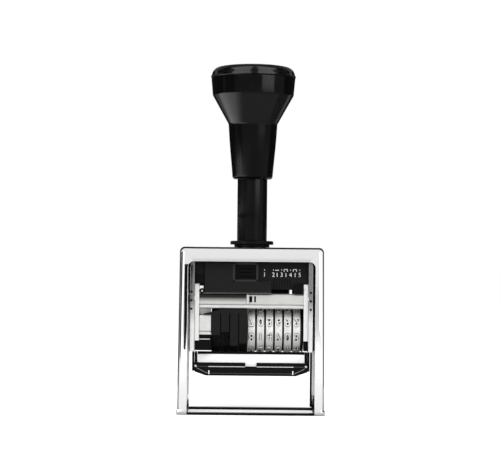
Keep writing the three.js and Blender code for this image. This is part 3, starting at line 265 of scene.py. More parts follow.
def enamel(name, colour, rough, specular, pores=0.0, depth=0.004, wave=0.0, reach=0.0, painted_light_band=None):
    """Black lacquer or moulding: glossy where rough is low, with a fine surface, with painted shade
    in hollows where reach is given, and painted lighter between two given heights, as if lit there."""
    made = Surface(name, Specular_IOR_Level=specular)
    skin = made.noise(0.35, detail=5.0)
    finish = made.mixed(made.noise(7, detail=4.0), shade(colour, 0.8), shade(colour, 1.25))
    # Painted shade in the hollows.
    if reach:
        finish = made.mixed(made.open_faces(reach, 0.4, 0.85), shade(colour, 0.12), finish)
    # Painted light: a lighter band between two heights.
    if painted_light_band:
        foot, top = painted_light_band
        zone = made.maths("MULTIPLY", made.height(foot - 0.8, foot + 0.8), made.height(top + 0.5, top - 0.5))
        finish = made.mixed(zone, finish, shade(colour, 3.6))
    under = made.relief(made.noise(14, detail=1.0), 0.12, wave) if wave else None
    return made.finished(
        finish,
        made.spread(skin, rough * 0.85, rough * 1.2),
        made.relief(skin, depth, 0.5 + pores, under),
    )


def felt(name, colour):
    """Short white felt: tangled fibres over a soft nap."""
    made = Surface(name, Specular_IOR_Level=0.1, Sheen_Weight=0.35, Sheen_Roughness=0.6)
    fibres = made.noise(0.28, (4, 1, 1), 6.0, 1.6)
    cross = made.noise(0.3, (1, 4, 1), 6.0, 1.2)
    nap = made.noise(4.0)
    under = made.relief(cross, 0.05, 0.6, made.relief(nap, 0.15, 0.4))
    return made.finished(
        made.mixed(fibres, shade(colour, 0.95), colour),
        made.spread(nap, 0.85, 0.97),
        made.relief(fibres, 0.06, 0.7, under),
    )


def paint(name, colour):
    """Filled-in figures, slightly uneven."""
    made = Surface(name, Specular_IOR_Level=0.3)
    return made.finished(
        made.mixed(made.noise(0.35, detail=5.0), shade(colour, 0.72), colour),
        made.spread(made.noise(0.6), 0.4, 0.6),
        made.relief(made.noise(0.2, detail=4.0), 0.01, 0.5),
    )


WORN_GREY = (0.5, 0.5, 0.485)
ACROSS = (14, 1, 1)
chrome = polished("chrome", (0.79, 0.795, 0.8), 0.05, 0.054)
inner_chrome = polished("inner_chrome", (0.72, 0.72, 0.715), 0.16, 0.072, 3.0, (46.0, 58.0))
bright_steel = machined("bright_steel", (0.75, 0.75, 0.745))
pale_steel = machined("pale_steel", (0.58, 0.58, 0.57), 0.32)
brushed_steel = machined("brushed_steel", WORN_GREY, 0.34, ACROSS)
# Painted shadow of the overhanging slide, dark on the bridge's upper left.
slide_shadow_steel = machined("slide_shadow_steel", WORN_GREY, 0.34, ACROSS, ((56.2, 58.8), (-1.0, -3.0)))
spring_steel = machined("spring_steel", (0.5, 0.51, 0.52), 0.28, (1, 1, 1))
dull_steel = machined("dull_steel", grey(0.2), 0.4, (6, 1, 1))
dark_ratchet = machined("dark_ratchet", grey(0.03), 0.35)
type_metal = cast_type("type_metal", (0.66, 0.66, 0.645), grey(0.006), 0.36, 0.5)
black_type = cast_type("black_type", (0.004, 0.004, 0.0042), grey(0.0006), 0.5, 0.0, 0.08)
# The grip's cone is painted lighter between these heights, standing in for light that falls on it.
gloss_black = enamel("gloss_black", grey(0.0026), 0.14, 0.06, wave=0.08, painted_light_band=(146.8, 161.6))
tube_black = enamel("tube_black", (0.003, 0.003, 0.0031), 0.22, 0.06)
satin_black = enamel("satin_black", grey(0.0062), 0.42, 0.08, depth=0.01, reach=1.2)
scale_black = enamel("scale_black", (0.0055, 0.0053, 0.0053), 0.45, 0.08, depth=0.01, reach=0.7)
rim_black = enamel("rim_black", grey(0.016), 0.4, 0.15, depth=0.01)
# A lighter black that paints highlights on the slide's lower lip and the tray's beads.
painted_highlight_black = enamel("painted_highlight_black", grey(0.04), 0.4, 0.2, depth=0.01)
deep_black = enamel("deep_black", (0.0022, 0.0022, 0.0024), 0.4, 0.05)
lacquer = enamel("lacquer", (0.002, 0.002, 0.0022), 0.3, 0.08)
rubber = enamel("rubber", grey(0.02), 0.85, 0.3, pores=0.5, depth=0.05)
white_felt = felt("white_felt", (0.99, 0.99, 0.985))
white_paint = paint("white_paint", (0.8, 0.8, 0.78))

BY_SLOT = {
    "chromed_shell": chrome,
    "bright_steel": bright_steel,
    "spring_steel": spring_steel,
    "type_metal": type_metal,
    "gloss_black": gloss_black,
    "black_tube": tube_black,
    "satin_black": satin_black,
    "black_steel": lacquer,
    "black_type": black_type,
    "rubber_buffer": rubber,
    "pad_white": white_felt,
    "pad_felt": white_felt,
}

# Finishes, each a slot of the record and the material that shows it

STEEL = ("bright_steel", bright_steel)
PALE = ("bright_steel", pale_steel)
DARK = ("satin_black", deep_black)
GLOSS = ("gloss_black", gloss_black)
TUBE = ("black_tube", tube_black)
SPRING = ("spring_steel", spring_steel)

# Mesh tools


def in_scene(name, data):
    """A new object, linked to the scene."""
    made = bpy.data.objects.new(name, data)
    bpy.context.scene.collection.objects.link(made)
    return made


def linked(name, bm):
    """A mesh object, still in mm, from a bmesh."""
    bmesh.ops.recalc_face_normals(bm, faces=bm.faces)
    mesh = bpy.data.meshes.new(name)
    bm.to_mesh(mesh)
    bm.free()
    return in_scene(name, mesh)


def applied(piece):
    """Puts the piece's modifiers into its mesh."""
    graph = bpy.context.evaluated_depsgraph_get()
    mesh = bpy.data.meshes.new_from_object(piece.evaluated_get(graph))
    piece.modifiers.clear()
    old, piece.data = piece.data, mesh
    bpy.data.meshes.remove(old)
    return piece


def carved(piece, cutters):
    """Cuts closed bmeshes out of the piece."""
    tools = [linked("cutter", cutter) for cutter in cutters]
    for tool in tools:
        cut = piece.modifiers.new("cut", "BOOLEAN")
        cut.operation, cut.solver, cut.object = "DIFFERENCE", "EXACT", tool
    applied(piece)
    for tool in tools:
        mesh = tool.data
        bpy.data.objects.remove(tool)
        bpy.data.meshes.remove(mesh)
    return piece


def eased(piece, width, segments=2, angle=35):
    """Rounds the piece's sharp edges."""
    bevel = piece.modifiers.new("ease", "BEVEL")
    bevel.width, bevel.segments = width, segments
    bevel.limit_method, bevel.angle_limit = "ANGLE", math.radians(angle)
    bevel.use_clamp_overlap = True
    bevel.miter_outer = "MITER_ARC"
    return applied(piece)


def settled(piece, body, finish, replaced=(), angle=32, weighted=True):
    """Brings a finished piece from mm to its place on a body."""
    slot, material = finish
    piece.data.transform(Matrix.Scale(MM, 4))
    piece.data.materials.clear()
    piece.data.materials.append(material)
    piece.data.shade_smooth()
    piece.data.set_sharp_from_angle(angle=math.radians(angle))
    if weighted:
        piece.modifiers.new("weighted", "WEIGHTED_NORMAL").keep_sharp = True
        applied(piece)
    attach(piece, body)
    if replaced:
        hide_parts(*replaced)
    return piece


def fitted(name, bm, body, finish, ease=0.0, segments=2, cuts=(), replaced=(), angles=(35, 32)):
    """A piece from a bmesh in mm: cut, its edges rounded, and put on a body. The
    angles are the least that is rounded and the least that then stays sharp."""
    piece = linked(name, bm)
    if cuts:
        carved(piece, cuts)
    if ease:
        eased(piece, ease, segments, angles[0])
    return settled(piece, body, finish, replaced, angles[1], bool(ease))


def loops(bm, rings, closed=False, caps=True):
    """Skins rings of points that all have as many points."""
    made = [[bm.verts.new(p) for p in ring] for ring in rings]
    pairs = list(zip(made, made[1:]))
    if closed:
        pairs.append((made[-1], made[0]))
    for low, high in pairs:
        for i in range(len(low)):
            j = (i + 1) % len(low)
            bm.faces.new((low[i], low[j], high[j], high[i]))
    if caps and not closed:
        bm.faces.new(reversed(made[0]))
        bm.faces.new(made[-1])
    return made


def along(axis, u, v, w):
    """A point w along an axis and u and v across it: in Y and Z for X, in X and Z for Y."""
    return {"X": (w, u, v), "Y": (u, w, v), "Z": (u, v, w)}[axis]


def turned(profile, steps=72, centre=(0.0, 0.0), axis="Z", bm=None):
    """A turned solid. The profile is (radius, height) and starts and ends on the
    axis, or closes on itself."""
    bm = bm or bmesh.new()
    on_axis = profile[0][0] == 0
    angles = [2 * math.pi * k / steps for k in range(steps)]

    def place(r, h, angle):
        return along(axis, centre[0] + r * math.cos(angle), centre[1] + r * math.sin(angle), h)

    rings = [[place(r, h, a) for a in angles] for r, h in (profile[1:-1] if on_axis else profile)]
    made = loops(bm, rings, closed=not on_axis, caps=False)
    if on_axis:
        for ring, (_, height) in ((made[0], profile[0]), (made[-1], profile[-1])):
            tip = bm.verts.new(place(0, height, 0))
            for i in range(steps):
                bm.faces.new((ring[i], ring[(i + 1) % steps], tip))
    return bm


def rod(radius, start, end, steps=24, centre=(0.0, 0.0), axis="Z"):
    """A plain round bar."""
    return turned([(0, start), (radius, start), (radius, end), (0, end)], steps, centre, axis)


def filleted(points, radii, steps=5, closed=False):
    """A profile with arcs in place of its corners."""
    made = []
    count = len(points)
    for i, (x, y) in enumerate(points):
        radius = radii[i] if isinstance(radii, (list, tuple)) else radii
        if radius <= 0 or (not closed and i in (0, count - 1)):
            made.append((x, y))
            continue
        here = Vector((x, y))
        back = Vector(points[i - 1]) - here
        ahead = Vector(points[(i + 1) % count]) - here
        half = back.angle(ahead) / 2
        reach = min(radius / math.tan(half), back.length * 0.49, ahead.length * 0.49)
        start, end = here + back.normalized() * reach, here + ahead.normalized() * reach
        for k in range(steps + 1):
            t = k / steps
            point = start * (1 - t) ** 2 + here * 2 * t * (1 - t) + end * t**2
            made.append((point.x, point.y))
    return made


def closed_profile(corners, steps):
    """A closed profile from corners that each give a radius, a height and a fillet."""
    return filleted([(r, h) for r, h, _ in corners], [fillet for _, _, fillet in corners], steps, True)


def prism(outline, axis, start, end, bm=None):
    """An outline across an axis, pushed along it."""
    bm = bm or bmesh.new()
    loops(bm, [[along(axis, u, v, w) for u, v in outline] for w in (start, end)])
    return bm


def rectangle(left, right, front, back):
    return [(left, front), (right, front), (right, back), (left, back)]


def box(x0, x1, y0, y1, z0, z1, bm=None):
    return prism(rectangle(x0, x1, y0, y1), "Z", z0, z1, bm)


def arc(x, y, radius, start, sweep, steps):
    """Points on a circle, from a start angle through a sweep, both in degrees."""
    angles = [math.radians(start + sweep * k / steps) for k in range(steps + 1)]
    return [(x + radius * math.cos(a), y + radius * math.sin(a)) for a in angles]


def archway(half, bottom, top, corner, steps=10):
    """The outline of an opening with round upper corners."""
    points = [(-half, bottom), (half, bottom)]
    for x, start in ((half - corner, 0), (corner - half, 90)):
        points += arc(x, top - corner, corner, start, 90, steps)
    return points


def band(centres, half, steps=8):
    """The outline of a slot along a line of points."""
    points = [Vector(p) for p in centres]
    last = len(points) - 1
    headings = []
    for i in range(last + 1):
        d = points[min(i + 1, last)] - points[max(i - 1, 0)]
        headings.append(math.atan2(d.y, d.x))

    def reach(i, angle):
        return (points[i].x + half * math.cos(angle), points[i].y + half * math.sin(angle))

    quarter = math.pi / 2
    edge = [reach(i, headings[i] - quarter) for i in range(last + 1)]
    edge += [reach(last, headings[last] - quarter + math.pi * k / steps) for k in range(1, steps)]
    edge += [reach(i, headings[i] + quarter) for i in range(last, -1, -1)]
    edge += [reach(0, headings[0] + quarter + math.pi * k / steps) for k in range(1, steps)]
    return edge


def rounded(half_x, half_y, corner, z, steps=8):
    """A ring of points round a rectangle with round corners."""
    ring = []
    for x, y, start in ((1, 1, 0), (-1, 1, 90), (-1, -1, 180), (1, -1, 270)):
        ring += arc(x * (half_x - corner), y * (half_y - corner), corner, start, 90, steps)
    return [(x, y, z) for x, y in ring]


def curve_through(points, steps=6):
    """A smooth line through points."""
    made = []
    line = [Vector(p) for p in (points[0], *points, points[-1])]
    for i in range(1, len(line) - 2):
        a, b, c, d = line[i - 1 : i + 3]
        for k in range(steps):
            t = k / steps
            bend = (2 * a - 5 * b + 4 * c - d) * t**2 + (3 * b - a - 3 * c + d) * t**3
            made.append(tuple(0.5 * (2 * b + (c - a) * t + bend)))
    made.append(tuple(points[-1]))
    return made


def wire(points, radius, sides=10, bm=None):
    """A round wire along a line of points."""
    bm = bm or bmesh.new()
    line = [Vector(p) for p in points]
    angles = [2 * math.pi * k / sides for k in range(sides)]
    rings = []
    normal = None
    for i, here in enumerate(line):
        ahead = (line[min(i + 1, len(line) - 1)] - line[max(i - 1, 0)]).normalized()
        if normal is None:
            normal = ahead.orthogonal().normalized()
        normal = (normal - ahead * normal.dot(ahead)).normalized()
        side = ahead.cross(normal)
        rings.append([here + normal * radius * math.cos(a) + side * radius * math.sin(a) for a in angles])
    loops(bm, rings)
    return bm


def softened(node, width, segments=2, material=None):
    """A copy of a CAD node with rounded edges, in its place."""
    source = frame["nodes"][node]
    bm = bmesh.new()
    bm.from_mesh(source.data)
    bmesh.ops.scale(bm, vec=(1 / MM,) * 3, verts=bm.verts)
    bmesh.ops.remove_doubles(bm, verts=bm.verts, dist=0.002)
    bmesh.ops.dissolve_limit(bm, angle_limit=math.radians(0.6), verts=bm.verts, edges=bm.edges)
    finish = (SLOTS[node], material or BY_SLOT[SLOTS[node]])
    fitted(node + "_finished", bm, source["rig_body"], finish, width, segments, replaced=(node,))


@functools.lru_cache(maxsize=None)
def figure(text, height, width=None):
    """A flat outline mesh of figures, centred, as vertices and faces in mm."""
    curve = bpy.data.curves.new("figure", "FONT")
    curve.body = text
    curve.align_x, curve.align_y = "CENTER", "CENTER"
    curve.size, curve.extrude = 1.0, 0.5
    curve.resolution_u = 3
    holder = in_scene("figure", curve)
    graph = bpy.context.evaluated_depsgraph_get()
    mesh = bpy.data.meshes.new_from_object(holder.evaluated_get(graph))
    bpy.data.objects.remove(holder)
    bpy.data.curves.remove(curve)
    places = [v.co.copy() for v in mesh.vertices]
    faces = [tuple(p.vertices) for p in mesh.polygons]
    bpy.data.meshes.remove(mesh)
    xs, ys = [p.x for p in places], [p.y for p in places]
    middle_x, middle_y = (min(xs) + max(xs)) / 2, (min(ys) + max(ys)) / 2
    tall = height / (max(ys) - min(ys))
    wide = tall * FIGURE_SQUEEZE
    if width is not None and text != "1":
        wide = min(wide, width / (max(xs) - min(xs)))
    return [((p.x - middle_x) * wide, (p.y - middle_y) * tall, p.z) for p in places], faces


def add_figure(bm, drawn, placed):
    """Adds a figure's faces, each point put in place by a function."""
    points, faces = drawn
    verts = [bm.verts.new(placed(*p)) for p in points]
    for face in faces:
        try:
            bm.faces.new([verts[i] for i in face])
        except ValueError:
            pass


# Housing and carriage


def drawn_shell(bottom, top, base, head, sheet, corner, edge, lip_height=0.0, lip_reach=0.0):
    """A drawn sheet shell, open at the bottom, as rings from the outside over the
    bottom edge to the inside. Base and head give its half width and half depth."""

    def half(z):
        t = (z - bottom) / (top - bottom)
        return [low + (high - low) * t for low, high in zip(base, head)]

    def skin(inset, crown, radius, round_top):
        shoulder = crown - round_top
        heights = {bottom, *(bottom + (shoulder - bottom) * k / 6 for k in range(1, 7))}
        if lip_reach:
            heights |= {lip_height, lip_height + lip_reach}
        rings = []
        for z in sorted(heights):
            reach = lip_reach if z <= lip_height else 0.0
            x, y = half(z)
            rings.append(rounded(x - inset + reach, y - inset + reach, radius + reach, z))
        x, y = half(shoulder)
        for k in range(1, 9):
            a = math.radians(90 * k / 8)
            inward = round_top * (1 - math.cos(a))
            tight = max(radius - inward * 0.85, 0.25)
            z = shoulder + round_top * math.sin(a)
            rings.append(rounded(x - inset - inward, y - inset - inward, tight, z))
        return rings

    bm = bmesh.new()
    outer = loops(bm, skin(0.0, top, corner, edge), caps=False)
    inner_corner, inner_edge = max(corner - sheet, 0.25), max(edge - sheet, 0.4)
    inner = loops(bm, skin(sheet, top - sheet, inner_corner, inner_edge), caps=False)
    bm.faces.new(outer[-1])
    bm.faces.new(inner[-1])
    for i in range(len(outer[0])):
        j = (i + 1) % len(outer[0])
        bm.faces.new((outer[0][i], outer[0][j], inner[0][j], inner[0][i]))
    return bm


def follower_path(moving):
    """Where the follower pins run, in Y and Z."""
    path = []
    for k in range(25):
        swing = PAD_SWING * k / 24
        a = math.radians(FOLLOWER_START + swing)
        drop = STROKE * k / 24 if moving else 0.0
        path.append((AXLE_Y + FOLLOWER_REACH * math.sin(a), AXLE_Z - drop - FOLLOWER_REACH * math.cos(a)))
    return path


housing = drawn_shell(
    0.0, HOUSING_TOP, HOUSING_BASE_HALVES, HOUSING_TOP_HALVES,
    HOUSING_SHEET, HOUSING_CORNER, HOUSING_EDGE, LIP_HEIGHT, LIP_REACH,
)
openings = [
    prism(archway(WINDOW_HALF, -5.0, WINDOW_TOP, WINDOW_CORNER), "Y", -30.0, 30.0),
    prism(band(follower_path(True), SLOT_HALF), "X", -PAST, PAST),
    rod(TUBE_SEAT, 80.0, 90.0, 64),
    rod(RIVET_HOLE, -PAST, PAST, 24, RIVET_SPOT, "X"),
]
fitted(
    "housing_shell", housing, "frame", ("chromed_shell", chrome), 0.22, 2, openings, ("housing",), (40, 28)
)

halves = (CARRIAGE_X, CARRIAGE_Y)
carriage = drawn_shell(
    CARRIAGE_BOTTOM, CARRIAGE_TOP, halves, halves, CARRIAGE_SHEET, CARRIAGE_CORNER, CARRIAGE_EDGE
)
flange = (CARRIAGE_WINDOW_HALF + CARRIAGE_X) / 2
flange_spots = [(side * flange - 0.2, z) for z in FLANGE_HEIGHTS for side, _ in SIDES]
below = CARRIAGE_BOTTOM - 4
openings = [
    prism(archway(CARRIAGE_WINDOW_HALF, below, CARRIAGE_FRONT_TOP, 1.0), "Y", -30.0, 10.0),
    prism(archway(CARRIAGE_WINDOW_HALF, below, CARRIAGE_WINDOW_TOP, 3.0), "Y", 5.0, 30.0),
    box(-30.0, 30.0, 17.0, 24.0, below, CARRIAGE_BACK_TOP),
    prism(band(follower_path(False), SLOT_HALF), "X", -PAST, PAST),
    rod(ROD_SEAT, 76.0, 84.0, 32),
    *(rod(SCREW_HOLE, -PAST, PAST, 24, spot, "X") for spot in SCREW_SPOTS),
    *(prism(arc(*spot, FLANGE_HOLE, 0, 360, 20)[:-1], "Y", -24.0, -18.0) for spot in flange_spots),
]
fitted(
    "carriage_shell", carriage, "carriage", ("chromed_shell", inner_chrome), 0.18, 2,
    openings, ("carriage_frame",), (40, 28),
)

pins = bmesh.new()
pin = [
    (0, -CARRIAGE_Y - 0.3), (0.35, -CARRIAGE_Y - 0.25), (0.62, -CARRIAGE_Y),
    (0.43, -CARRIAGE_Y + 0.05), (0.43, -19.1), (0, -19.1),
]
for spot in flange_spots:
    turned(pin, 16, spot, "Y", pins)
fitted("flange_pins", pins, "carriage", DARK)

# The liner is hollowed behind its front edge, where the follower pin swings past.
LINER_FRONT, LINER_EDGE, LINER_BACK = -18.0, -17.8, -14.0
liner = [
    (LINER_FRONT, 32.2), (LINER_BACK, 32.2), (LINER_BACK, 36.6), (LINER_EDGE, 36.6),
    (LINER_EDGE, 53.4), (LINER_BACK, 53.4), (LINER_BACK, 76.0), (LINER_FRONT, 76.0),
]
fitted("carriage_liner_right", prism(liner, "X", 31.15, 31.85), "carriage", DARK, 0.06, 1)
# A dark strip at the right back leg stands in for the shadow at its side.
fitted("leg_shadow_strip_right", box(31.0, 32.1, 20.7, 22.0, 1.5, 75.5), "frame", DARK, 0.2)

# Tube and grip


def lathed(name, profile, body, finish, replaced, steps=96):
    """A turned piece round the machine's own axis, in place of a CAD node."""
    fitted(name, turned(profile, steps), body, finish, replaced=(replaced,))


TUBE_FOOT, TUBE_TOP, COLLAR_FOOT, COLLAR_TOP = 80.8, 134.0, 84.1, 87.4
GRIP_FOOT, GRIP_SEAM, GRIP_TOP = 118.95, 170.75, 177.55
tube = [(TUBE_BORE, TUBE_FOOT), (TUBE_RADIUS, TUBE_FOOT), (TUBE_RADIUS, TUBE_TOP), (TUBE_BORE, TUBE_TOP)]
lathed("guide_tube_drawn", filleted(tube, 0.3, 3, True), "frame", TUBE, "guide_tube")
collar = [
    (TUBE_SEAT, COLLAR_FOOT, 0.1), (9.0, COLLAR_FOOT, 0.15), (9.0, 85.5, 0.3), (10.9, 85.5, 0.1),
    (11.0, 85.9, 0.3), (11.0, 87.0, 0.3), (10.4, COLLAR_TOP, 0.3), (TUBE_SEAT, COLLAR_TOP, 0.2),
]
lathed("tube_collar_turned", closed_profile(collar, 3), "frame", TUBE, "tube_collar")

flank = curve_through([(10.24, 119.9), (10.68, 125.0), (11.27, 131.1), (11.82, 137.3), (12.24, 143.0)], 3)
grip = [
    (TUBE_SEAT, GRIP_FOOT, 0.3), (9.5, GRIP_FOOT, 0.3),
    (*flank[0], 0.4), *((r, h, 0) for r, h in flank[1:]),
    (12.5, 147.1, 2.4), (20.7, 161.8, 0.9), (21.5, GRIP_SEAM, 0.15), (8.0, GRIP_SEAM, 0.1),
    (8.0, 169.4, 0), (ROD_SEAT, 169.4, 0), (ROD_SEAT, 166.0, 0), (TUBE_SEAT, 166.0, 0.3),
]
lathed("grip_turned", closed_profile(grip, 8), "carriage", GLOSS, "grip_body", 128)
dome = [
    (21.48, 171.9), (21.25, 172.5), (21.05, 173.15), (20.75, 173.9), (20.15, 174.8), (19.15, 175.6),
    (17.5, 176.25), (13.9, 176.8), (9.0, 177.2), (4.0, 177.45), (0, GRIP_TOP),
]
rim = [(8.0, 170.8), (21.35, 170.8), (21.65, 171.0), (21.75, 171.3), (21.65, 171.6)]
cap = [(0, 173.6), (8.0, 173.6), *rim, *curve_through(dome)]
lathed("grip_cap_turned", cap, "carriage", GLOSS, "grip_cap", 128)

# Type wheels


def ratchet(node, count, left, right, body, slot):
    """A dark saw-toothed ring beside a wheel's drum."""
    teeth = []
    for i in range(count):
        a = 2 * math.pi * i / count
        b = 2 * math.pi * (i + 0.94) / count
        corners = [(RATCHET_TIP, a), (RATCHET_ROOT, a + 0.03)]
        for k in range(1, 6):
            climb = RATCHET_ROOT + (RATCHET_TIP - RATCHET_ROOT) * k / 6
            corners.append((climb, a + 0.03 + (b - a - 0.03) * k / 6))
        teeth += [(AXLE_Y + r * math.cos(t), AXLE_Z + r * math.sin(t)) for r, t in corners]
    fitted(node + "_ratchet", prism(teeth, "X", left, right), body, (slot, dark_ratchet), 0.05, 1)


def wheel(node, left, width, texts, type_width, body, finish, toothed):
    """A type wheel: a drum with raised figures round it, and a ratchet where toothed."""
    right = left + width
    drum = [(DRUM_BORE, left, 0.1), (DRUM_RADIUS, left, 0.25)]
    drum += [(DRUM_RADIUS, right, 0.25), (DRUM_BORE, right, 0.1)]
    bm = turned(closed_profile(drum, 2), 10 * 12, AXLE, "X")
    if toothed:
        ratchet(node, len(texts), right + 0.01, left + WHEEL_PITCH - WHEEL_PLAY, body, finish[0])
    middle = (left + right) / 2
    for i, text in enumerate(texts):
        angle = -math.pi / 2 + 2 * math.pi * i / len(texts)

        def placed(u, v, w):
            """A character narrows from its root in the drum to its printing face."""
            reach = TYPE_REACH - 0.06 if w > 0 else DRUM_RADIUS - 0.3
            turn = angle + v * (0.97 if w > 0 else 1.03) / DRUM_RADIUS
            x = middle + u * (1.0 if w > 0 else 1.12)
            return (x, AXLE_Y + reach * math.cos(turn), AXLE_Z + reach * math.sin(turn))

        add_figure(bm, figure(text, TYPE_HEIGHT, type_width), placed)
    fitted(node + "_cut", bm, body, finish, replaced=(node,))


for i in range(6):
    order = [str((k + 3 * i) % 10) for k in range(10)]
    left = NUMBERS_LEFT + WHEEL_PLAY / 2 + i * WHEEL_PITCH
    finish = ("type_metal", type_metal)
    wheel(f"number_wheel_{i + 1}", left, DRUM_WIDTH, order, 2.9, f"figures_{i + 1}", finish, True)
for i, count in enumerate(DATE_COUNTS):
    first = 0 if count == 10 else 1
    order = [str(first + k) for k in range(count)]
    left, width = DATES_LEFT + WHEEL_PLAY / 2 + i * WHEEL_PITCH, WHEEL_PITCH - WHEEL_PLAY
    finish = ("black_type", black_type)
    wheel(f"date_wheel_{i + 1}", left, width, order, 3.2, f"date_{i + 1}", finish, False)

# The pad

PAD_COLUMNS, PAD_ROWS = 36, 16
PAD_X, PAD_Y, PAD_BOTTOM, PAD_TOP = 27.0, 9.5, 22.0, 29.3
PAD_CROWN, PAD_RIM = 0.55, 1.35


def pad_point(s, t, up):
    """A point of the pad's top or bottom face, from -1 to 1 each way."""
    x = PAD_X * s * (1 - 0.006 * (1 - t * t))
    y = PAD_Y * t * (1 - 0.012 * (1 - s * s) * t * t)
    crown = (1 - s**6) * (1 - t**4)
    rim = max(0.0, (abs(t) - 0.8) / 0.2) ** 0.5
    z = PAD_TOP - PAD_CROWN * (1 - crown) + PAD_RIM * rim if up else PAD_BOTTOM
    return (x, y + AXLE_Y, z)


def gathered(k, count):
    """From -1 to 1 in even steps of an angle, so closer together at both ends."""
    return math.sin(math.pi / 2 * (2 * k / count - 1))


pad = bmesh.new()
points = {}
for up in (False, True):
    for r in range(PAD_ROWS + 1):
        for c in range(PAD_COLUMNS + 1):
            place = pad_point(gathered(c, PAD_COLUMNS), gathered(r, PAD_ROWS), up)
            points[(up, c, r)] = pad.verts.new(place)
    for r in range(PAD_ROWS):
        for c in range(PAD_COLUMNS):
            pad.faces.new([points[(up, *spot)] for spot in rectangle(c, c + 1, r, r + 1)])
border = [(c, 0) for c in range(PAD_COLUMNS)] + [(PAD_COLUMNS, r) for r in range(PAD_ROWS)]
border += [(PAD_COLUMNS - c, PAD_ROWS - r) for c, r in border]
for here, ahead in zip(border, border[1:] + border[:1]):
    corners = ((False, *here), (False, *ahead), (True, *ahead), (True, *here))
    pad.faces.new([points[corner] for corner in corners])
cushion = eased(linked("ink_pad_felt", pad), 0.5, 3, 50)
settled(cushion, "ink_pad", ("pad_white", white_felt), ("pad_block", "ink_felt"), 50, False)

fitted("pad_edge_strip", box(-26.9, 26.9, -13.0, -12.5, 27.4, 31.45), "ink_pad", DARK, 0.12)

TRAY_FRONT = -15.02
BEAD_TOP, BEAD_FOOT = 23.85, 20.45


def beads(name, finish, radius, spans):
    """Thin round mouldings across the tray's front, from one x to another at a height."""
    bm = bmesh.new()
    for start, end, z in spans:
        wire([(x, TRAY_FRONT, z) for x in (start, (start + end) / 2, end)], radius, 10, bm)
    fitted(name, bm, "ink_pad", finish)


beads("tray_trim", STEEL, 0.22, ((-21.4, -2.8, BEAD_TOP), (2.8, 21.4, BEAD_TOP)))
spans = ((-27.4, -21.5, BEAD_TOP), (21.5, 27.4, BEAD_TOP), (-20.6, 20.6, BEAD_FOOT))
# The tray's beads are painted lighter, as highlights.
beads("tray_beads", ("black_steel", painted_highlight_black), 0.2, spans)

for side, name in SIDES:
    slant = [(side * 27.5, -15.2, 23.3), (side * 24.5, -15.24, 21.7), (side * 21.7, -15.2, BEAD_FOOT)]
    fitted(f"pad_clip_wire_{name}", wire(slant, 0.2, 8), "ink_pad", ("bright_steel", dull_steel))
    ends = box(*sorted((side * 20.8, side * 21.4)), -15.6, -14.95, 19.95, 21.9)
    knob = [(0, -15.75), (0.35, -15.7), (0.62, -15.45), (0.62, -14.95), (0, -14.95)]
    turned(knob, 20, (side * 27.75, 24.1), "Y", ends)
    fitted(f"pad_clip_{name}_ends", ends, "ink_pad", STEEL, 0.1, replaced=(f"pad_clip_{name}",))

# Springs


def coil(radius, start, end, turns, axis, centre, dead=1.0, per_turn=28):
    """A coil along X or Z whose first and last turns are closed for dead turns."""
    closed = 0.012
    points = []
    count = int(turns * per_turn)
    for k in range(count + 1):
        turn = turns * k / count
        share = min(max((turn - dead) / (turns - 2 * dead), 0.0), 1.0)
        climb = closed * min(turn / dead, 1) + (1 - 2 * closed) * share
        climb += closed * max(0.0, (turn - turns + dead) / dead)
        h = start + (end - start) * climb
        a = 2 * math.pi * turn
        points.append(along(axis, centre[0] + radius * math.cos(a), centre[1] + radius * math.sin(a), h))
    return points


SPRING_FOOT, SPRING_TOP, SPRING_RADIUS, SPRING_WIRE = 92.9, 164.54, 4.7, 0.64
winding = coil(SPRING_RADIUS, SPRING_FOOT + 0.72, SPRING_TOP - 0.66, 14, "Z", (0, 0))
spring = wire(winding, SPRING_WIRE, 12)
spring = fitted("return_spring_wound", spring, "frame", SPRING, replaced=("return_spring",))
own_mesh(spring)

PAWL_SPRING_SPOT, PAWL_SPRING_RADIUS, PAWL_SPRING_WIRE = (5.5, 61.8), 2.55, 0.39
low_corner, high_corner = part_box("pawl_spring")
start, end = low_corner.x / MM + 0.42, high_corner.x / MM - 0.42
winding = coil(PAWL_SPRING_RADIUS, start, end, 6, "X", PAWL_SPRING_SPOT, 0.5, 24)
carrier = frame["nodes"]["pawl_spring"]["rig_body"]
spring = wire(winding, PAWL_SPRING_WIRE, 10)
fitted("pawl_spring_wound", spring, carrier, SPRING, replaced=("pawl_spring",))

# Works

GUARD_LEFT, GUARD_STEP, GUARD_RIGHT, GUARD_FOOT = -28.35, -26.2, -19.98, 32.05
guard = [
    (GUARD_LEFT, GUARD_FOOT), (GUARD_RIGHT, GUARD_FOOT), (GUARD_RIGHT, 39.8),
    (GUARD_STEP, 39.8), (GUARD_STEP, 36.9), (GUARD_LEFT, 36.9),
]
guard_block = prism(guard, "Y", -16.9, -10.0)
fitted("guard_block_left_cut", guard_block, "carriage", DARK, 0.12, replaced=("guard_block_left",))
fitted("guard_leaf", box(-26.25, -20.6, -17.05, -12.0, 37.5, 37.85), "carriage", STEEL, 0.1)

fold = [
    (-16.8, 54.6, 0), (-15.6, 54.6, 0), (-15.6, 59.4, 0.5),
    (-7.9, 59.4, 0.15), (-7.9, 60.6, 0.15), (-16.8, 60.6, 1.0),
]
bridge = prism(closed_profile(fold, 6), "X", -WORKS_HALF, WORKS_HALF)
slots = [box(start, end, -20.0, -14.5, 56.3, 59.4) for start, end in ((-1.1, 0.35), (1.35, 2.25))]
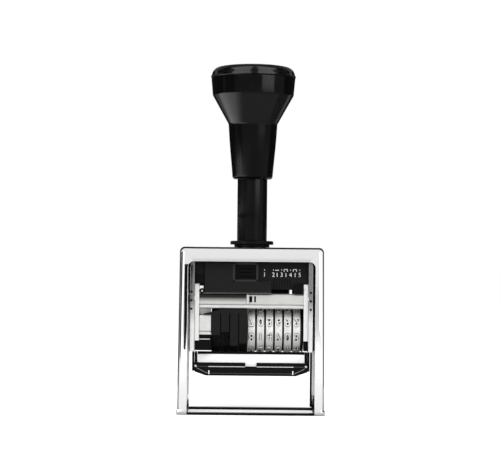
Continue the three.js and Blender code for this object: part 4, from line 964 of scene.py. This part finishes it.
# The bridge's upper left carries the painted shadow of the slide above it.
slide_shadowed = ("bright_steel", slide_shadow_steel)
fitted("bridge_bar_folded", bridge, "carriage", slide_shadowed, 0.1, 2, slots, ("bridge_bar",), (40, 32))
lip = [(0, -WORKS_HALF), (1.1, -WORKS_HALF), (1.1, WORKS_HALF), (0, WORKS_HALF)]
roll = turned(filleted(lip, [0, 0.25, 0.25, 0], 3), 32, (-17.3, 54.15), "X")
fitted("bridge_lip_rolled", roll, "carriage", PALE)
# A dark sheet behind the slots stands in for the shade there.
fitted("bridge_slot_shade_sheet", box(-1.6, 2.7, -15.55, -15.1, 56.0, 59.3), "carriage", DARK, 0.1)
fitted("bridge_post", box(-2.45, -1.3, -17.35, -16.7, 55.2, 60.4), "carriage", PALE, 0.25, 3)

spacer = box(-WORKS_HALF, -20.15, -17.0, 2.0, 39.9, 49.7)
cuts = [rod(DRUM_BORE, -30.0, -18.0, 32, AXLE, "X"), box(-28.0, -18.0, -18.0, -16.6, 41.3, 41.75)]
fitted("spacer_block_cut", spacer, "carriage", PALE, 0.3, 3, cuts, ("spacer_block",), (40, 32))
stay = box(-WORKS_HALF, -20.4, -9.6, -8.6, 49.6, 59.4)
fitted("spacer_stay", stay, "carriage", ("bright_steel", brushed_steel), 0.2)

disc = filleted([(2.2, 25.62), (11.9, 25.62), (11.9, 26.18), (2.2, 26.18)], 0.12, 2, True)
fitted("axle_disc", turned(disc, 64, AXLE, "X"), "carriage", DARK, replaced=("axle_washer",))
washers = bmesh.new()
for i in range(len(DATE_COUNTS)):
    x = DATES_LEFT + i * WHEEL_PITCH
    reach = 11.8 if i else 12.95
    flat = [(2.4, x - 0.045), (reach, x - 0.045), (reach, x + 0.045), (2.4, x + 0.045)]
    turned(flat, 48, AXLE, "X", washers)
fitted("date_washers", washers, "carriage", DARK)

# The selector slide: its face, the well with its rim and ridges, and the lower lip painted lighter as a
# highlight

SLIDE_BACK, SLIDE_FRONT = -17.05, -18.95
SLIDE_LEFT, SLIDE_STEP, SLIDE_RIGHT = -23.7, 3.4, 9.9
SLIDE_FOOT, SLIDE_SHELF, SLIDE_TOP = 60.8, 67.0, 77.0
WELL_LEFT, WELL_RIGHT, WELL_FOOT, WELL_TOP = -8.3, 2.2, 67.8, 75.2
RIM_LEFT, RIM_RIGHT, RIM_FOOT, RIM_TOP = -9.5, 3.3, 66.7, 76.6
face = [
    (SLIDE_LEFT, SLIDE_FOOT), (SLIDE_RIGHT, SLIDE_FOOT), (SLIDE_RIGHT, SLIDE_SHELF),
    (SLIDE_STEP, SLIDE_SHELF), (SLIDE_STEP, SLIDE_TOP), (SLIDE_LEFT, SLIDE_TOP),
]
well = box(WELL_LEFT, WELL_RIGHT, -21.0, SLIDE_FRONT + 1.1, WELL_FOOT, WELL_TOP)
slide = prism(face, "Y", SLIDE_FRONT + 0.12, SLIDE_BACK)
satin = ("satin_black", satin_black)
fitted("selector_slide_moulded", slide, "step_selector", satin, 0.2, 3, [well], ("selector_slide",))
rim = bmesh.new()
for left, right, foot, top in (
    (RIM_LEFT, WELL_LEFT, RIM_FOOT, RIM_TOP),
    (WELL_RIGHT, RIM_RIGHT, RIM_FOOT, RIM_TOP),
    (RIM_LEFT, RIM_RIGHT, RIM_FOOT, 67.7),
    (RIM_LEFT, RIM_RIGHT, 75.3, RIM_TOP),
):
    box(left, right, SLIDE_FRONT + 0.02, SLIDE_FRONT + 0.4, foot, top, rim)
fitted("slide_well_rim", rim, "step_selector", ("satin_black", rim_black), 0.12)
left, right, foot, top = WELL_LEFT + 0.05, WELL_RIGHT - 0.05, WELL_FOOT + 0.05, WELL_TOP - 0.05
ridges = box(left, right, SLIDE_FRONT + 1.0, SLIDE_FRONT + 1.25, foot, top)
for z in (69.3, 71.2, 73.1):
    ridge = [(SLIDE_FRONT + 1.05, z - 0.45), (SLIDE_FRONT + 0.7, z), (SLIDE_FRONT + 1.05, z + 0.45)]
    prism(ridge, "X", -6.0, 0.6, ridges)
fitted("slide_well_floor", ridges, "step_selector", DARK)
# The lower lip is painted lighter, as a highlight.
lip = wire([(x, SLIDE_FRONT + 0.1, 61.05) for x in (-23.5, -7.0, 9.7)], 0.24, 12)
fitted("slide_lip", lip, "step_selector", ("satin_black", painted_highlight_black))

# The bracket and the ringed screw at the scale bar's left end

BRACKET_SCREW = (-24.9, 61.9)
fitted("scale_bracket", box(-26.28, -24.0, -17.6, -16.95, 60.75, 64.6), "carriage", STEEL, 0.2, 3)
ring = closed_profile([(0.5, -17.5, 0), (0.5, -18.1, 0.1), (1.3, -18.1, 0.2), (1.35, -17.5, 0)], 2)
fitted("scale_screw_ring", turned(ring, 32, BRACKET_SCREW, "Y"), "carriage", DARK)
head = [(0, -18.3), (0.3, -18.25), (0.58, -18.0), (0.58, -17.4), (0, -17.4)]
fitted("scale_screw_head", turned(head, 24, BRACKET_SCREW, "Y"), "carriage", STEEL)

# CAD nodes that take rounded edges as they are

for _, name in SIDES:
    softened(f"side_plate_{name}", 0.18)
    softened(f"slide_stop_{name}", 0.25, material=deep_black)
    softened(f"pad_arm_{name}", 0.15)
softened("guard_block_right", 0.25, material=deep_black)
softened("scale_bar", 0.08, material=scale_black)
softened("date_shield", 0.2)
softened("base_ring", 0.2)
softened("pad_tray", 0.22)
softened("detent_comb", 0.1, 1)
softened("pawl_comb", 0.12, 1)

# The CAD nodes that still show

for node, source in frame["nodes"].items():
    if not source.hide_render:
        source.data.materials.clear()
        source.data.materials.append(BY_SLOT.get(SLOTS.get(node), bright_steel))

# Figures and marks on the scale

marks = bmesh.new()
MARK_FRONT, MARK_BACK, MARK_LEVEL, MARK_HEIGHT = -16.95, -16.85, 70.35, 2.15


def stamped(text, x):
    def placed(u, v, w):
        return (x + u, MARK_FRONT if w > 0 else MARK_BACK, MARK_LEVEL + v)

    add_figure(marks, figure(text, MARK_HEIGHT), placed)


def tick(x, left, right, foot, top):
    """A flat mark that reaches to both sides of x."""
    box(x - left, x + right, MARK_FRONT, MARK_BACK, foot, top, marks)


for text, x in zip("12345", (6.4, 10.9, 15.0, 19.5, 24.1)):
    stamped(text, x)
    tick(x, 0.2, 0.15, 72.4, 72.95)
for x in (12.75, 17.2, 21.8):
    tick(x, 0.17, 0.17, 69.3, 71.2)
tick(12.7, 0.9, 0.9, 72.35, 72.75)
for x in (17.1, 21.7):
    tick(x, 1.0, 1.0, 72.85, 73.2)
    tick(x, 1.0, -0.65, 71.9, 73.0)
    tick(x, -0.65, 1.0, 71.9, 73.0)
fitted("scale_figures", marks, "carriage", ("pad_white", white_paint))

# Floor


def staged(name, points):
    """Stage faces of four points each, and the node tree of their material."""
    mesh = bpy.data.meshes.new(name)
    mesh.from_pydata(points, [], [tuple(range(i, i + 4)) for i in range(0, len(points), 4)])
    thing = in_scene(name, mesh)
    material = bpy.data.materials.new(name)
    mesh.materials.append(material)
    return thing, Nodes(material)


def seen_rays(nodes):
    """1 for the camera's own rays, and 1 for those that come by a mirror or glass."""
    ray = nodes.add("ShaderNodeLightPath").outputs
    return ray["Is Camera Ray"], nodes.maths("ADD", ray["Is Glossy Ray"], ray["Is Transmission Ray"], True)


FLOOR = 60.0
_, nodes = staged("floor", [(x, y, 0) for x, y in rectangle(-FLOOR, FLOOR, -FLOOR, FLOOR)])
camera_ray, mirror_ray = seen_rays(nodes)
glow = nodes.add("ShaderNodeEmission", Color=(1, 1, 1, 1))
shares = nodes.maths("MULTIPLY", camera_ray, 0.51), nodes.maths("MULTIPLY", mirror_ray, 0.2)
nodes.link(nodes.maths("ADD", *shares), glow.inputs["Strength"])
total = nodes.add("ShaderNodeAddShader")
nodes.link(nodes.add("ShaderNodeBsdfDiffuse", Color=(0.8, 0.8, 0.8, 1)).outputs[0], total.inputs[0])
nodes.link(glow.outputs[0], total.inputs[1])
nodes.show(total.outputs[0])

# World: an even white studio whose bright and dark zones show in mirrors alone

BOARD_STARTS = {"left": 90, "right": 92}
BOARD_END, BACK_START, BACK_END = 129, 141, 152
EDGE = 1.5

world = bpy.data.worlds.new("studio")
bpy.context.scene.world = world
sky = Nodes(world)
dx, dy, dz = sky.place("Generated")
front = sky.maths("MULTIPLY", dy, -1.0)
from_front = sky.maths("MULTIPLY", sky.maths("ARCCOSINE", front), 180 / math.pi)
around = sky.maths("MULTIPLY", sky.maths("ARCTAN2", dx, front), 180 / math.pi)


def zone(value, *spans):
    """1 within any of the spans, each with its ends and the softness of its edges."""
    total = None
    for low, high, soft in spans:
        rise = sky.remap(value, low - soft, low + soft, smooth=True)
        fall = sky.remap(value, high - soft, high + soft, 1.0, 0.0, True)
        inside = sky.maths("MULTIPLY", rise, fall)
        total = inside if total is None else sky.maths("MAXIMUM", total, inside)
    return total


def both(first, second):
    return sky.maths("MULTIPLY", first, second)


upper = zone(dz, (0.5, 2.0, 0.06))
lower = sky.maths("SUBTRACT", 1.0, upper)
overhead = zone(from_front, (84, 115, EDGE), (125, BACK_END, EDGE))
right = zone(around, (BOARD_STARTS["right"], BOARD_END, EDGE), (BACK_START, BACK_END, EDGE))
left = zone(
    around, (-84, -46, EDGE), (-BOARD_END, -BOARD_STARTS["left"], EDGE), (-BACK_END, -BACK_START, EDGE)
)
behind = both(zone(from_front, (163, 172, 2)), zone(dz, (-0.05, 0.1, 0.03)))
dark = sky.maths("MAXIMUM", behind, both(upper, overhead))
dark = sky.maths("MAXIMUM", dark, both(lower, sky.maths("ADD", left, right)))
glare = both(lower, zone(around, (48, 79, 3), (-42, -12, 4)))
glare = sky.maths("ADD", glare, both(upper, zone(from_front, (50, 82, 4))), True)
bright = sky.maths("ADD", 1.0, both(glare, 0.45))
studio = both(bright, sky.maths("SUBTRACT", 1.0, both(dark, 0.97)))

camera_ray, mirror_ray = seen_rays(sky)
other = sky.maths("SUBTRACT", 1.0, sky.maths("ADD", camera_ray, mirror_ray, True), True)
level = sky.maths("ADD", sky.maths("ADD", camera_ray, both(mirror_ray, studio)), both(other, 0.62))
background = sky.add("ShaderNodeBackground", Color=(1, 1, 1, 1))
sky.link(level, background.inputs["Strength"])
sky.show(background.outputs[0], "ShaderNodeOutputWorld")

# Studio cards, in metres. They light nothing and show only in polished surfaces.

BLACK = 0.03
BOARD_RADIUS, BOARD_TOP = 0.3, 0.26
FRONT_RADIUS, WINDOW_RADIUS = 0.42, 0.41
FAR_RADIUS, TALL = 0.6, 0.34


def studio_card(name, points, strength, fade=()):
    """Fade gives, for x and then y, the full end, the dim end and the dim level."""
    card, nodes = staged(name, points)
    level = strength
    if fade:
        place = nodes.place("Object")
        for axis, (full, empty, rest) in zip("XY", fade):
            share = nodes.remap(place[axis], empty, full, rest, 1.0, True)
            level = nodes.maths("MULTIPLY", share, level)
    light = nodes.add("ShaderNodeEmission")
    nodes.feed(level, light.inputs["Strength"])
    nodes.show(light.outputs[0])
    card.visible_camera = card.visible_diffuse = False
    card.visible_shadow = card.visible_transmission = False


def arc_card(name, start, end, radius, foot, top, strength):
    """Start and end are degrees to the right of straight ahead."""
    points = []
    steps = max(2, int(abs(end - start) / 4))
    for k in range(steps):
        a, b = (math.radians(start + (end - start) * (k + j) / steps) for j in (0, 1))
        for angle, z in ((a, foot), (b, foot), (b, top), (a, top)):
            points.append((radius * math.sin(angle), -radius * math.cos(angle), z))
    studio_card(name, points, strength)


def level_card(name, corners, height, strength, fade=()):
    studio_card(name, [(x, y, height) for x, y in corners], strength, fade)


# Dark boards round the table draw the outlines of the bright frame.
for side, name in SIDES:
    start, end = side * BOARD_STARTS[name], side * BOARD_END
    arc_card(f"board_{name}", start, end, BOARD_RADIUS, 0.0, BOARD_TOP, BLACK)
    arc_card(f"board_{name}_back", side * BACK_START, side * BACK_END, BOARD_RADIUS, 0.0, BOARD_TOP, BLACK)
    arc_card(f"board_{name}_far", side * 166, side * 173, FAR_RADIUS, 0.0, TALL, BLACK)
    arc_card(f"board_{name}_high", end, side * 167, BOARD_RADIUS, 0.09, BOARD_TOP, BLACK)
arc_card("board_dome", 160, 200, BOARD_RADIUS, 0.24, 0.31, BLACK)
arc_card("board_left_front", -84, -54, FRONT_RADIUS, 0.017, TALL, BLACK)
arc_card("strip_left", -50, -16, FRONT_RADIUS, 0.0, 0.10, 1.4)
arc_card("strip_right", 50, 84, FRONT_RADIUS, 0.0, 0.10, 1.4)
# The left leg mirrors a dark wedge beside the camera.
WEDGE_LEFT, WEDGE_FOOT, WEDGE_TOP = -0.03414, 0.0324, 0.0754
wedge = [(WEDGE_LEFT, WEDGE_TOP), (-0.02938, WEDGE_TOP), (-0.03281, WEDGE_FOOT), (WEDGE_LEFT, WEDGE_FOOT)]
studio_card("flag_left_leg", [(x, -0.03, z) for x, z in wedge], 0.01)
# A low panel at the left lights the underside of the grip's cone.
fade = ((-0.075, -0.046, 0.25), (0.0, 0.13, 0.0))
level_card("panel_low_left", rectangle(-0.3, -0.046, -0.125, 0.13), 0.1, 9.0, fade)
# A hood over the works keeps the panels above out of the steel.
HOOD_LEFT, HOOD_BACK, HOOD_HEIGHT = -0.044, -0.026, 0.1
level_card("hood", rectangle(HOOD_LEFT, 0.2, -0.35, HOOD_BACK), HOOD_HEIGHT, 1.0)
level_card("hood_edge", rectangle(HOOD_LEFT, 0.06, HOOD_BACK, -0.0085), HOOD_HEIGHT, BLACK)
CORNER_LEFT, CORNER_RIGHT, CORNER_SPLIT, CORNER_HEIGHT = -0.12, -0.03, -0.0232, 0.09
shield = rectangle(CORNER_LEFT, CORNER_RIGHT, CORNER_SPLIT, 0.05)
level_card("corner_shield", shield, CORNER_HEIGHT, BLACK)
level_card("corner_hood", rectangle(CORNER_LEFT, CORNER_RIGHT, -0.09, CORNER_SPLIT), CORNER_HEIGHT, 1.0)
for side, name in SIDES:
    corners = ((0.042, -0.024), (0.34, -0.008), (0.28, 0.146), (0.042, -0.018))
    level_card(f"flag_low_{name}", [(side * x, y) for x, y in corners], 0.002, 0.05)
# Two panels overhead make the pale patches on the cap, with a notch between them.
PANEL_FRONT, PANEL_BACK, PANEL_HEIGHT = -0.86, 0.06, 0.8
for name, front_ends, back_ends, dim_end in (
    ("left", (-0.98, -0.134), (0.015, -0.5), 2.0),
    ("right", (0.215, 1.02), (0.53, 0.03), -2.0),
):
    corners = [(x, PANEL_FRONT) for x in front_ends] + [(x, PANEL_BACK) for x in back_ends]
    fade = ((0.0, dim_end, 1.0), (-0.3, 0.1, 0.4))
    level_card(f"panel_top_{name}", corners, PANEL_HEIGHT, 14.0, fade)
# A window at the right shows on the grip's band and fainter on its shaft.
arc_card("window_right", 24, 58, WINDOW_RADIUS, 0.1285, 0.2, 9.5)
arc_card("window_low_right", 22, 44, WINDOW_RADIUS, 0.035, 0.095, 3.0)

# Lamps, in metres


def area_light(name, place, target, width, height, power):
    data = bpy.data.lights.new(name, "AREA")
    data.shape, data.size, data.size_y, data.energy = "RECTANGLE", width, height, power
    light = in_scene(name, data)
    light.location = place
    light.rotation_euler = (Vector(target) - Vector(place)).to_track_quat("-Z", "Y").to_euler()
    light.visible_glossy = light.visible_camera = False


OBJECT_MIDDLE = (0, 0, 0.06)
area_light("key", (-0.5, -1.1, 1.1), OBJECT_MIDDLE, 1.2, 1.0, 11.0)
area_light("fill", (0.6, -1.1, 0.9), OBJECT_MIDDLE, 1.2, 1.0, 9.0)

# Camera: pixel places are in the photograph's frame, and PIXEL is one pixel's slope

FRAME_WIDTH, FRAME_HEIGHT = 500, 450
AXIS_COLUMN, LEVEL_ROW = 252.3, 267.65
SENSOR, LENS = 36.0, 144.0
PIXEL = SENSOR / LENS / FRAME_WIDTH
DISTANCE, EYE_HEIGHT, SIDESTEP = 1.0225, 0.07375, 0.006

camera_data = bpy.data.cameras.new("camera")
camera_data.sensor_width = SENSOR
camera_data.lens = LENS
camera_data.clip_end = 200.0
camera = in_scene("camera", camera_data)
bpy.context.scene.camera = camera
pitch = math.atan((LEVEL_ROW - FRAME_HEIGHT / 2) * PIXEL)
yaw = math.atan((AXIS_COLUMN - SIDESTEP / PIXEL - FRAME_WIDTH / 2) * PIXEL)
roll = math.radians(0.55)
turns = ((yaw, "Z"), (math.pi / 2 + pitch, "X"), (roll, "Z"))
yawed, pitched, rolled = (Matrix.Rotation(angle, 3, axis) for angle, axis in turns)
camera.location = (-SIDESTEP, -DISTANCE, EYE_HEIGHT)
camera.rotation_euler = (yawed @ pitched @ rolled).to_euler()

bpy.context.scene.view_settings.view_transform = "Standard"
